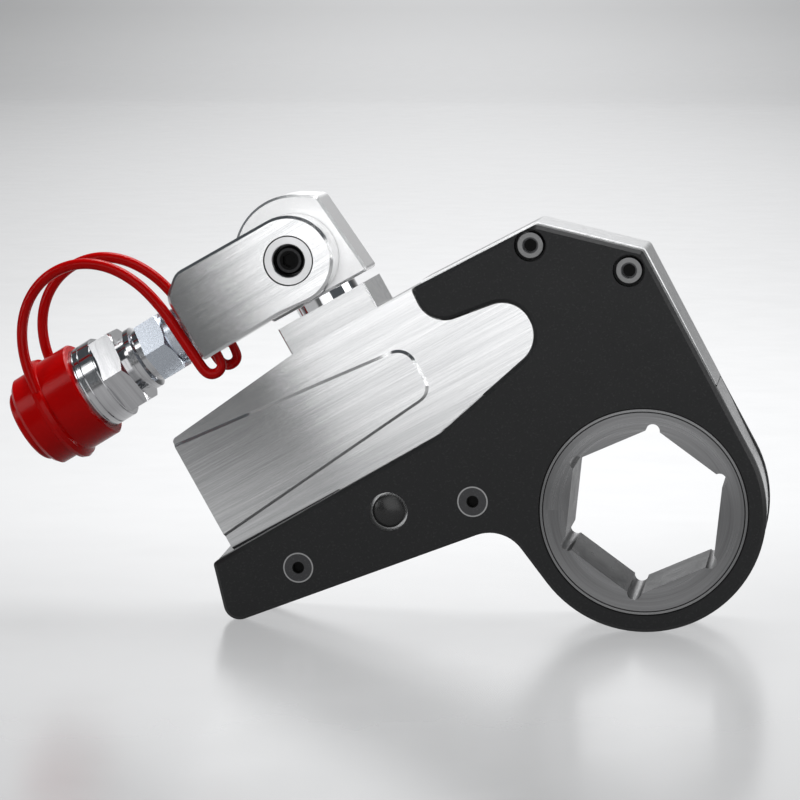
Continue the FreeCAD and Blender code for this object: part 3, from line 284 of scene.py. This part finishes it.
sweep = link("sweep", sweep_mesh())
soft_lamp("top_lamp", (0.15, 0.45, 1.20), LAMP_AIM, width=1.2, height=0.8, level=8.0)
soft_lamp("front_lamp", (-0.055, -2.05, 0.54), (0.025, 0.0, 0.42), width=1.6, height=1.9,
          level=1.5, lean=TOOL_TILT)
soft_lamp("right_lamp", (1.35, 0.15, 0.45), LAMP_AIM, width=0.9, height=0.9, level=3.0)
soft_lamp("left_lamp", (-1.55, -1.0, 0.60), LAMP_AIM, width=0.8, height=1.1, level=3.2)
world = bpy.data.worlds.new("studio")
bpy.context.scene.world = world
world.use_nodes = True
backdrop = world.node_tree.nodes["Background"]
backdrop.inputs["Color"].default_value = WORLD_COLOUR
backdrop.inputs["Strength"].default_value = WORLD_LEVEL
print("floor at", FLOOR)

# %% [markdown]
# ## Shared effects
# Several finishes need the same few effects: long brushed lines, a fine blasted grain, and the
# marks of handling. Each effect is a node group with named inputs and outputs, so that one recipe
# serves every metal with its own values. The small functions above them each write one node, and
# take either a link or a plain number.

# %% Node groups
SCRATCH_LIE = (0.3, 0.9, 0.2)
SCRATCH_SIZE = (0.02, 0.0005, 0.02)


def new_group(name, inputs, outputs):
    """An empty node group with named sockets."""
    group = bpy.data.node_groups.new(name, "ShaderNodeTree")
    for label, kind, value in inputs:
        socket = group.interface.new_socket(name=label, in_out="INPUT", socket_type=kind)
        if value is not None:
            socket.default_value = value
    for label, kind in outputs:
        group.interface.new_socket(name=label, in_out="OUTPUT", socket_type=kind)
    return group, group.nodes.new("NodeGroupInput"), group.nodes.new("NodeGroupOutput")


def feed(tree, value, socket):
    """Links a socket to another one, or sets it to a plain value."""
    if isinstance(value, bpy.types.NodeSocket):
        tree.links.new(value, socket)
    else:
        socket.default_value = value


def noise(tree, vector, scale, detail=3.0, roughness=0.5):
    """A noise texture on a vector."""
    node = tree.nodes.new("ShaderNodeTexNoise")
    node.inputs["Scale"].default_value = scale
    node.inputs["Detail"].default_value = detail
    node.inputs["Roughness"].default_value = roughness
    tree.links.new(vector, node.inputs["Vector"])
    return node.outputs["Fac"]


def spread(tree, value, low, high, new_low=0.0, new_high=1.0):
    """Maps one range of values to another and keeps to its ends."""
    node = tree.nodes.new("ShaderNodeMapRange")
    feed(tree, value, node.inputs["Value"])
    feed(tree, low, node.inputs["From Min"])
    feed(tree, high, node.inputs["From Max"])
    feed(tree, new_low, node.inputs["To Min"])
    feed(tree, new_high, node.inputs["To Max"])
    return node.outputs["Result"]


def maths(tree, kind, first, second=0.0):
    """One sum of two values, either of which may be a plain number."""
    node = tree.nodes.new("ShaderNodeMath")
    node.operation = kind
    feed(tree, first, node.inputs[0])
    feed(tree, second, node.inputs[1])
    return node.outputs[0]


def brushed_lines():
    """Long fine lines along the first axis of the vector, whose unit is one line."""
    group, start, end = new_group(
        "brushed lines",
        [("Vector", "NodeSocketVector", None)],
        [("Lines", "NodeSocketFloat"), ("Bands", "NodeSocketFloat")])
    fine = noise(group, start.outputs["Vector"], 1.0, 4.0, 0.65)
    wide = noise(group, start.outputs["Vector"], 0.16, 2.0, 0.5)
    group.links.new(spread(group, fine, 0.3, 0.7), end.inputs["Lines"])
    group.links.new(spread(group, wide, 0.35, 0.65), end.inputs["Bands"])
    return group


def blasted_grain():
    """An even fine grain, as glass beads leave on steel or as paint has over it."""
    group, start, end = new_group(
        "blasted grain",
        [("Vector", "NodeSocketVector", None), ("Grain Size", "NodeSocketFloat", 0.0004)],
        [("Grain", "NodeSocketFloat"), ("Specks", "NodeSocketFloat")])
    scale = group.nodes.new("ShaderNodeVectorMath")
    scale.operation = "SCALE"
    group.links.new(start.outputs["Vector"], scale.inputs[0])
    group.links.new(maths(group, "DIVIDE", 1.0, start.outputs["Grain Size"]),
                    scale.inputs["Scale"])
    fine = noise(group, scale.outputs[0], 1.0, 3.0, 0.6)
    dots = noise(group, scale.outputs[0], 0.7, 0.0, 0.5)
    group.links.new(fine, end.inputs["Grain"])
    group.links.new(spread(group, dots, 0.62, 0.78), end.inputs["Specks"])
    return group


def handling_marks():
    """Cloudy smears of oil and a few thin scratches."""
    group, start, end = new_group(
        "handling marks",
        [("Vector", "NodeSocketVector", None)],
        [("Smears", "NodeSocketFloat"), ("Scratches", "NodeSocketFloat")])
    cloud = noise(group, start.outputs["Vector"], 55.0, 5.0, 0.6)
    turned = group.nodes.new("ShaderNodeMapping")
    turned.vector_type = "TEXTURE"
    turned.inputs["Rotation"].default_value = SCRATCH_LIE
    turned.inputs["Scale"].default_value = SCRATCH_SIZE
    group.links.new(start.outputs["Vector"], turned.inputs["Vector"])
    thin = noise(group, turned.outputs["Vector"], 1.0, 2.0, 0.5)
    group.links.new(spread(group, cloud, 0.35, 0.7), end.inputs["Smears"])
    group.links.new(spread(group, thin, 0.68, 0.74), end.inputs["Scratches"])
    return group


LINES = brushed_lines()
GRAIN = blasted_grain()
MARKS = handling_marks()
print("groups:", LINES.name, GRAIN.name, MARKS.name, sep=", ")

# %% [markdown]
# ## Making a finish
# There are two kinds of surface. A lined metal has brushed or turned lines in its colour, its
# gloss and its height, and it's told which way they run, because light spreads across such lines.
# A grained one has an even grain with light specks. On both, smears of handling shift the gloss
# a little.

# %% Finish makers
LINES_SHARE, BANDS_SHARE = 0.6, 0.4
SPECK_SHARE = 0.8
SMEAR_SHARE = 0.3
QUARTER_TURN = 0.25
RING_EDGE = 0.06
BLACK = (0.0, 0.0, 0.0)


def place_group(tree, group, **inputs):
    """Puts a group into a material and feeds its inputs."""
    node = tree.nodes.new("ShaderNodeGroup")
    node.node_tree = group
    for label, value in inputs.items():
        feed(tree, value, node.inputs[label.replace("_", " ")])
    return node


def object_place(tree):
    """The place on the object, in the object's own metres."""
    return tree.nodes.new("ShaderNodeTexCoord").outputs["Object"]


def split(tree, vector):
    """The three numbers of a vector, by the names X, Y and Z."""
    node = tree.nodes.new("ShaderNodeSeparateXYZ")
    tree.links.new(vector, node.inputs[0])
    return node.outputs


def reach_of(tree, first, second):
    """How far two numbers at right angles to each other reach together."""
    squares = maths(tree, "ADD", maths(tree, "MULTIPLY", first, first),
                    maths(tree, "MULTIPLY", second, second))
    return maths(tree, "SQRT", squares)


def along(tree, where, tilt, sizes):
    """The place turned by a tilt in the side view and counted in sizes in metres."""
    turned = tree.nodes.new("ShaderNodeMapping")
    turned.vector_type = "TEXTURE"
    turned.inputs["Rotation"].default_value = (0.0, -tilt, 0.0)
    turned.inputs["Scale"].default_value = sizes
    tree.links.new(where, turned.inputs["Vector"])
    return turned.outputs["Vector"]


def rings(tree, where, reach_size, depth_size):
    """The turn round the drive, then the reach from it and the depth, counted in their sizes."""
    parts = split(tree, where)
    reach = reach_of(tree, parts["X"], parts["Z"])
    joined = tree.nodes.new("ShaderNodeCombineXYZ")
    feed(tree, maths(tree, "ARCTAN2", parts["Z"], parts["X"]), joined.inputs["X"])
    feed(tree, maths(tree, "DIVIDE", reach, reach_size), joined.inputs["Y"])
    feed(tree, maths(tree, "DIVIDE", parts["Y"], depth_size), joined.inputs["Z"])
    return joined.outputs["Vector"]


def vector_sum(tree, kind, first, second):
    """One sum of two vectors, either of which may be plain numbers."""
    node = tree.nodes.new("ShaderNodeVectorMath")
    node.operation = kind
    feed(tree, first, node.inputs[0])
    feed(tree, second, node.inputs[1])
    return node.outputs["Vector"]


def lie_of_lines(tree, shader, run):
    """Tells the shader which way its lines run, given in the object's own directions."""
    turned = tree.nodes.new("ShaderNodeVectorTransform")
    turned.vector_type = "VECTOR"
    turned.convert_from, turned.convert_to = "OBJECT", "WORLD"
    feed(tree, run, turned.inputs[0])
    tree.links.new(turned.outputs[0], shader.inputs["Tangent"])
    shader.inputs["Anisotropic Rotation"].default_value = QUARTER_TURN


def lie_round(tree, shader, axis, centre):
    """Tells the shader that its lines run round an axis through a centre."""
    outward = vector_sum(tree, "SUBTRACT", object_place(tree), centre)
    lie_of_lines(tree, shader, vector_sum(tree, "CROSS_PRODUCT", axis, outward))


def blend_colours(tree, share, first, second):
    """Two colours mixed by a share."""
    node = tree.nodes.new("ShaderNodeMix")
    node.data_type = "RGBA"
    tree.links.new(share, node.inputs["Factor"])
    for label, value in (("A", first), ("B", second)):
        socket = [s for s in node.inputs if s.name == label and s.type == "RGBA"][0]
        feed(tree, (*value, 1.0) if isinstance(value, tuple) else value, socket)
    return [s for s in node.outputs if s.type == "RGBA"][0]


def start_finish(name):
    """An empty material with its shader."""
    finish = bpy.data.materials.new(name)
    finish.use_nodes = True
    return finish, finish.node_tree, finish.node_tree.nodes["Principled BSDF"]


def bump(tree, shader, height, depth):
    """A height in metres on the shader's normal."""
    node = tree.nodes.new("ShaderNodeBump")
    node.inputs["Distance"].default_value = depth
    node.inputs["Strength"].default_value = 1.0
    tree.links.new(height, node.inputs["Height"])
    tree.links.new(node.outputs["Normal"], shader.inputs["Normal"])


def lined_metal(name, lay, colour, dark, gloss, swing, depth=0.000003, anisotropic=0.9):
    """Metal with lines in their lay: its colour, its lines' colour and its range of roughness."""
    finish, tree, shader = start_finish(name)
    lines_at, lie = lay
    where = object_place(tree)
    lines = place_group(tree, LINES, Vector=lines_at(tree, where))
    marks = place_group(tree, MARKS, Vector=where)
    tone = maths(tree, "ADD", maths(tree, "MULTIPLY", lines.outputs["Lines"], LINES_SHARE),
                 maths(tree, "MULTIPLY", lines.outputs["Bands"], BANDS_SHARE))
    tree.links.new(blend_colours(tree, tone, dark, colour), shader.inputs["Base Color"])
    rough = maths(tree, "ADD", spread(tree, tone, 0.0, 1.0, gloss + swing, gloss),
                  maths(tree, "MULTIPLY", marks.outputs["Smears"], SMEAR_SHARE * swing))
    tree.links.new(rough, shader.inputs["Roughness"])
    shader.inputs["Metallic"].default_value = 1.0
    shader.inputs["Anisotropic"].default_value = anisotropic
    lie(tree, shader)
    bump(tree, shader, lines.outputs["Lines"], depth)
    return finish


def grained(name, colour, speck, gloss, swing, metal, grain_size, depth, specular=0.5):
    """A coated or blasted surface with an even grain and light specks."""
    finish, tree, shader = start_finish(name)
    where = object_place(tree)
    grain = place_group(tree, GRAIN, Vector=where, Grain_Size=grain_size)
    marks = place_group(tree, MARKS, Vector=where)
    share = maths(tree, "MULTIPLY", grain.outputs["Specks"], SPECK_SHARE)
    tree.links.new(blend_colours(tree, share, colour, speck), shader.inputs["Base Color"])
    rough = maths(tree, "ADD", spread(tree, grain.outputs["Grain"], 0.3, 0.7, gloss, gloss + swing),
                  maths(tree, "MULTIPLY", marks.outputs["Smears"], -SMEAR_SHARE * swing))
    tree.links.new(rough, shader.inputs["Roughness"])
    shader.inputs["Metallic"].default_value = metal
    shader.inputs["Specular IOR Level"].default_value = specular
    bump(tree, shader, grain.outputs["Grain"], depth)
    return finish


def paint_shade_and_highlight_rings(finish, centres, bands):
    """Paints shade and highlight rings round cross axes: inner and outer radius in mm, and a
    colour.
    """
    tree = finish.node_tree
    base = tree.nodes["Principled BSDF"].inputs["Base Color"]
    parts = split(tree, object_place(tree))
    reach = None
    for x, _, z in centres:
        away = reach_of(tree, maths(tree, "SUBTRACT", parts["X"], x),
                        maths(tree, "SUBTRACT", parts["Z"], z))
        reach = away if reach is None else maths(tree, "MINIMUM", reach, away)
    colour = base.links[0].from_socket
    for inner, outer, paint in bands:
        past_inner = spread(tree, reach, (inner - RING_EDGE) / 1000, (inner + RING_EDGE) / 1000)
        in_outer = spread(tree, reach, (outer - RING_EDGE) / 1000, (outer + RING_EDGE) / 1000,
                          1.0, 0.0)
        colour = blend_colours(tree, maths(tree, "MULTIPLY", past_inner, in_outer), colour, paint)
    tree.links.new(colour, base)


print("finish makers:", lined_metal.__name__, "and", grained.__name__)

# %% [markdown]
# ## Finishes
# Brushed steel has lines along the cylinder, so its texture is turned with the tool. Turned parts
# carry their lines round their axis, the ratchet ring carries circles round the drive, and the
# plates wear a satin black coat with a fine grain. The rims and sockets of the screws and the
# grooves round the ring get painted rings, which make them easier to see: painted shade darkens
# the sockets, the grooves and the hinge pin's gap and socket, and painted highlights lighten the
# rims. Sizes are those of one line or grain in metres, and the numbers after the two colours are
# the roughness and its range.

# %% Finishes
LINE, RUN, WIDE = 0.0003, 0.02, 0.002
GRAIN_SIZE = 0.0004
BRUSHED_DEPTH = 0.000006
FLUSH_AT = [in_room(-103.9, 35.2), in_room(-45.1, 27.7)]
CAPPED_AT = [in_room(9.2, 88.6), in_room(32.0, 67.4)]
HINGE_AT = [in_room(*HINGE)]
DRIVE_AT = [(0.0, 0.0, 0.0)]


def straight_lay(tilt, way):
    """Lines that run one way in the side view."""
    return (lambda tree, where: along(tree, where, tilt, (RUN, LINE, LINE)),
            lambda tree, shader: lie_of_lines(tree, shader, way))


def turned_lay(tilt, sizes, axis, centre):
    """Lines that run round the axis of a turned part."""
    return (lambda tree, where: along(tree, where, tilt, sizes),
            lambda tree, shader: lie_round(tree, shader, axis, centre))


def drive_lay(reach_size, depth_size):
    """Lines that run round the drive."""
    return (lambda tree, where: rings(tree, where, reach_size, depth_size),
            lambda tree, shader: lie_round(tree, shader, ACROSS_WAY, DRIVE_AT[0]))


def black_oxide(name, colour, speck):
    """Blackened steel of a screw."""
    return grained(name, colour, speck, 0.30, 0.10, 0.9, GRAIN_SIZE, 0.000008)


tool_lay = straight_lay(TOOL_TILT, TOOL_WAY)
arm_lay = straight_lay(ARM_TILT, BRUSH_WAY)
port_lay = turned_lay(ARM_TILT, (LINE, RUN, RUN), ARM_WAY, beside_port(0.0, 0.0, 0.0))
post_lay = turned_lay(TOOL_TILT, (RUN, RUN, LINE), UPRIGHT_WAY, in_room(*POST))
hinge_lay = turned_lay(ARM_TILT, (RUN, LINE, RUN), ACROSS_WAY, in_room(*HINGE))
ring_lay = drive_lay(LINE, WIDE)

brushed_tool = lined_metal("brushed steel of the cylinder", tool_lay, (0.86, 0.86, 0.86),
                           (0.58, 0.585, 0.59), 0.08, 0.05, BRUSHED_DEPTH, 1.0)
brushed_arm = lined_metal("brushed steel of the arm", arm_lay, (0.86, 0.86, 0.86),
                          (0.58, 0.585, 0.59), 0.08, 0.05, BRUSHED_DEPTH, 1.0)
brushed_block = lined_metal("brushed steel of the base", tool_lay, (0.74, 0.74, 0.74),
                            (0.56, 0.565, 0.57), 0.10, 0.06, BRUSHED_DEPTH, 1.0)
turned_arm = lined_metal("turned steel on the arm's axis", port_lay, (0.72, 0.72, 0.73),
                         (0.55, 0.55, 0.56), 0.16, 0.08, anisotropic=0.6)
turned_upright = lined_metal("turned steel on the swivel's axis", post_lay, (0.72, 0.72, 0.73),
                             (0.56, 0.56, 0.57), 0.16, 0.08, anisotropic=0.6)
turned_hinge = lined_metal("faced steel of the hinge", hinge_lay, (0.86, 0.86, 0.86),
                           (0.76, 0.76, 0.765), 0.26, 0.06, anisotropic=0.5)
ring_steel = lined_metal("ground ratchet steel", ring_lay, (0.26, 0.26, 0.263),
                         (0.15, 0.15, 0.152), 0.24, 0.10)
bush_steel = lined_metal("bearing steel", ring_lay, (0.26, 0.26, 0.263),
                         (0.18, 0.18, 0.182), 0.22, 0.08)
coupler_chrome = lined_metal("turned chrome of the coupler", port_lay, (0.66, 0.66, 0.67),
                             (0.50, 0.50, 0.51), 0.10, 0.06, 0.000001, 0.5)
bronze = lined_metal("bearing bronze", drive_lay(WIDE, LINE), (0.62, 0.40, 0.20),
                     (0.45, 0.28, 0.13), 0.3, 0.1, anisotropic=0.3)

blasted_steel = grained("bead blasted steel", (0.90, 0.90, 0.90), (0.94, 0.94, 0.94),
                        0.30, 0.10, 1.0, GRAIN_SIZE, 0.00001)
zinc = grained("bright zinc plate", (0.56, 0.60, 0.66), (0.66, 0.70, 0.76),
               0.24, 0.08, 1.0, 0.0005, 0.000004)
plate_black = grained("satin black coat", (0.009, 0.0093, 0.010), (0.020, 0.020, 0.021),
                      0.38, 0.16, 0.0, GRAIN_SIZE, 0.000012, specular=0.32)
oxide_black = black_oxide("black oxide", (0.050, 0.050, 0.052), (0.075, 0.075, 0.078))
flush_black = black_oxide("black oxide of the flush screws", (0.060, 0.060, 0.062),
                          (0.085, 0.085, 0.088))
socket_black = black_oxide("black oxide of the hinge screw", (0.030, 0.030, 0.031),
                           (0.045, 0.045, 0.046))
button_black = grained("polished black button", (0.012, 0.012, 0.012), (0.02, 0.02, 0.02),
                       0.24, 0.08, 0.0, GRAIN_SIZE, 0.000006)
chrome = grained("hard chrome", (0.80, 0.80, 0.81), (0.84, 0.84, 0.85),
                 0.05, 0.05, 1.0, 0.0009, 0.000002)
spring_wire = grained("spring wire", (0.30, 0.30, 0.31), (0.42, 0.42, 0.43),
                      0.26, 0.14, 1.0, GRAIN_SIZE, 0.000006)
seal_rubber = grained("seal rubber", (0.014, 0.014, 0.015), (0.03, 0.03, 0.03),
                      0.5, 0.16, 0.0, GRAIN_SIZE, 0.00001)
cap_red = grained("glossy red rubber", (0.46, 0.001, 0.001), (0.50, 0.001, 0.001),
                  0.15, 0.07, 0.0, 0.0009, 0.000004, specular=0.10)

# Painted shade and highlight on the screws: near-black discs in the sockets, and light rings on the
# flush screws' rims and round the cap screws' heads.
paint_shade_and_highlight_rings(flush_black, FLUSH_AT,
            [(0.0, 1.9, (0.004, 0.004, 0.004)), (4.35, 4.75, (0.36, 0.36, 0.36))])
paint_shade_and_highlight_rings(oxide_black, CAPPED_AT,
            [(0.0, 1.9, (0.003, 0.003, 0.003)), (2.5, 3.9, (0.18, 0.18, 0.18))])
# Painted shade: dark rings at the grooves round the ratchet ring, on the ring and on its bushes.
for steel in (ring_steel, bush_steel):
    paint_shade_and_highlight_rings(steel, DRIVE_AT,
                [(30.9, 31.25, (0.01, 0.01, 0.01)), (31.95, 32.8, (0.01, 0.01, 0.01))])
# Painted shade: a dark ring in the gap round the hinge pin, a dark disc in its socket, and a
# near-black disc in the hinge screw's socket.
paint_shade_and_highlight_rings(turned_hinge, HINGE_AT,
            [(7.4, 8.2, (0.02, 0.02, 0.02)), (0.0, 5.1, (0.10, 0.10, 0.10))])
paint_shade_and_highlight_rings(socket_black, HINGE_AT, [(0.0, 3.0, (0.004, 0.004, 0.004))])

FINISHES = {
    plate_black: ["side_plate_front", "side_plate_rear"],
    oxide_black: ["cap_screws"],
    flush_black: ["countersunk_screws"],
    socket_black: ["hinge_screw"],
    button_black: ["release_button"],
    bronze: ["rod_gland"],
    bush_steel: ["journal_bush_front", "journal_bush_rear"],
    ring_steel: ["ratchet_wheel", "drive_lever_front", "drive_lever_rear", "drive_pawl",
                 "holding_pawl"],
    brushed_tool: ["link_frame", "head_shroud", "lever_bridge", "cylinder_body"],
    brushed_block: ["base_block"],
    blasted_steel: ["swivel_block", "end_plug"],
    brushed_arm: ["yoke_arm"],
    zinc: ["port_adapter"],
    turned_arm: ["coupler_valve"],
    turned_upright: ["bridge_dowels", "drive_pin", "holding_pawl_pin"],
    turned_hinge: ["hinge_pin", "hinge_nut"],
    coupler_chrome: ["coupler_sleeve", "coupler_body"],
    chrome: ["swivel_post", "post_collar", "piston_rod", "piston"],
    spring_wire: ["drive_pawl_springs", "holding_pawl_spring", "return_spring", "button_spring",
                  "sleeve_spring"],
    seal_rubber: ["end_plug_seal", "piston_seal", "gland_seal", "post_seal"],
    cap_red: ["dust_cap"],
}


def wear(piece, finish):
    """Gives a piece one finish in place of what it had."""
    piece.data.materials.clear()
    piece.data.materials.append(finish)


for finish, names in FINISHES.items():
    for name in names:
        wear(nodes[name], finish)
for strand in strands:
    wear(strand, cap_red)
for spring in live_springs:
    wear(spring, spring_wire)
finished = set(sum(FINISHES.values(), [])) | {"tether_front", "tether_rear"}
print("without a finish:", sorted(set(nodes) - finished))

# %% [markdown]
# ## The sweep's colour
# The sweep is grey card under a thin gloss, and a pool of light lies on it behind the wrench. The
# pool is the sweep's own glow. The camera sees it, and so do gloss and clear matter, but it lights
# nothing, so that the wrench's light and its shadow stay. It fades to the sides, to the front and
# at the far bend, and the wall glows more higher up.
# Flat brushed steel shows whatever lies in front of it, and gloss sees another floor than the
# camera: a duller one darkened by painted shade, a pool of other reach, and in front of the wrench
# a painted glow with a slanted edge that stands in for a bright card. Right of that edge the steel
# turns white with this painted reflection, and left of it the steel shows the floor's painted
# shade. The camera never sees the glow.

# %% Floor finish
FLOOR_DARK, FLOOR_PALE = (0.125, 0.126, 0.127), (0.14, 0.141, 0.142)
FLOOR_IOR = 1.8
GLOSS_LOW, GLOSS_HIGH = 0.19, 0.23
UNSEEN_ROUGHNESS = 0.9
GLOSS_PAINTED_SHADE = 0.75
POOL_AT = (0.02, 0.0, FLOOR)
POOL_LEVEL = 0.45
POOL_WIDTH, MIRRORED_WIDTH = 0.95, 1.7
POOL_FRONT, MIRRORED_FRONT = (-0.95, 0.05), (-0.38, -0.24)
WALL_FROM, WALL_TO, WALL_GAIN = 0.15, 0.8, 2.5
GLOSS_GLOW_SLANT = 0.247
GLOSS_GLOW_LEFT = (-0.08, -0.06)
GLOSS_GLOW_BACK = (-0.5, -0.3)
GLOW_COLOUR = (0.985, 0.99, 1.0)

floor_finish, tree, shader = start_finish("pale floor")
where = object_place(tree)
path = tree.nodes.new("ShaderNodeLightPath").outputs
mirrored = path["Is Glossy Ray"]


def by_gloss(plain, in_gloss):
    """One number for most rays, and another for glossy ones."""
    return spread(tree, mirrored, 0.0, 1.0, plain, in_gloss)


shade = blend_colours(tree, spread(tree, noise(tree, where, 1.5, 2.0, 0.5), 0.3, 0.7),
                      FLOOR_DARK, FLOOR_PALE)
# Painted shade: for glossy rays alone the floor's colour is darkened towards black, which gives the
# flat steel its dark left.
gloss_painted_shade = maths(tree, "MULTIPLY", mirrored, GLOSS_PAINTED_SHADE)
tree.links.new(blend_colours(tree, gloss_painted_shade, shade, BLACK), shader.inputs["Base Color"])
gloss = spread(tree, noise(tree, where, 40.0), 0.3, 0.7, GLOSS_LOW, GLOSS_HIGH)
tree.links.new(spread(tree, path["Is Camera Ray"], 0.0, 1.0, UNSEEN_ROUGHNESS, gloss),
               shader.inputs["Roughness"])
shader.inputs["IOR"].default_value = FLOOR_IOR

# The pool, in directions that are turned with the camera
turned = tree.nodes.new("ShaderNodeMapping")
turned.vector_type = "TEXTURE"
turned.inputs["Location"].default_value = POOL_AT
turned.inputs["Rotation"].default_value = (0.0, 0.0, CAMERA_TURN)
tree.links.new(where, turned.inputs["Vector"])
parts = split(tree, turned.outputs["Vector"])
aside = maths(tree, "DIVIDE", parts["X"], by_gloss(POOL_WIDTH, MIRRORED_WIDTH))
sides = maths(tree, "DIVIDE", 1.0, maths(tree, "ADD", 1.0, maths(tree, "MULTIPLY", aside, aside)))
front = spread(tree, parts["Y"], by_gloss(POOL_FRONT[0], MIRRORED_FRONT[0]),
               by_gloss(POOL_FRONT[1], MIRRORED_FRONT[1]))
front.node.interpolation_type = "SMOOTHSTEP"
near = maths(tree, "MULTIPLY", spread(tree, parts["Y"], 0.0, 0.2, 0.9, 1.2),
             spread(tree, parts["Y"], 0.3, 1.0, 1.0, 0.87))
far = spread(tree, parts["Y"], 4.4, 5.8, 1.0, 0.85)
high = spread(tree, parts["Z"], WALL_FROM, WALL_TO, 1.0, WALL_GAIN)
pool = POOL_LEVEL
for factor in (sides, front, near, far, high):
    pool = maths(tree, "MULTIPLY", pool, factor)
seen = maths(tree, "MAXIMUM", path["Is Camera Ray"], mirrored)
seen = maths(tree, "MAXIMUM", seen, path["Is Transmission Ray"])

# The painted glow in place of a bright card, which glossy rays alone see: a painted reflection
plain = split(tree, where)
slanted = maths(tree, "SUBTRACT", plain["X"], maths(tree, "MULTIPLY", plain["Y"], GLOSS_GLOW_SLANT))
gloss_glow = maths(tree, "MULTIPLY", spread(tree, slanted, *GLOSS_GLOW_LEFT),
             spread(tree, plain["Y"], *GLOSS_GLOW_BACK, 1.0, 0.0))
gloss_glow = maths(tree, "MULTIPLY", gloss_glow, mirrored)
glow = maths(tree, "MAXIMUM", maths(tree, "MULTIPLY", pool, seen), gloss_glow)
tree.links.new(blend_colours(tree, glow, BLACK, GLOW_COLOUR), shader.inputs["Emission Color"])
shader.inputs["Emission Strength"].default_value = 1.0
sweep.data.materials.append(floor_finish)
print("floor finish:", floor_finish.name)
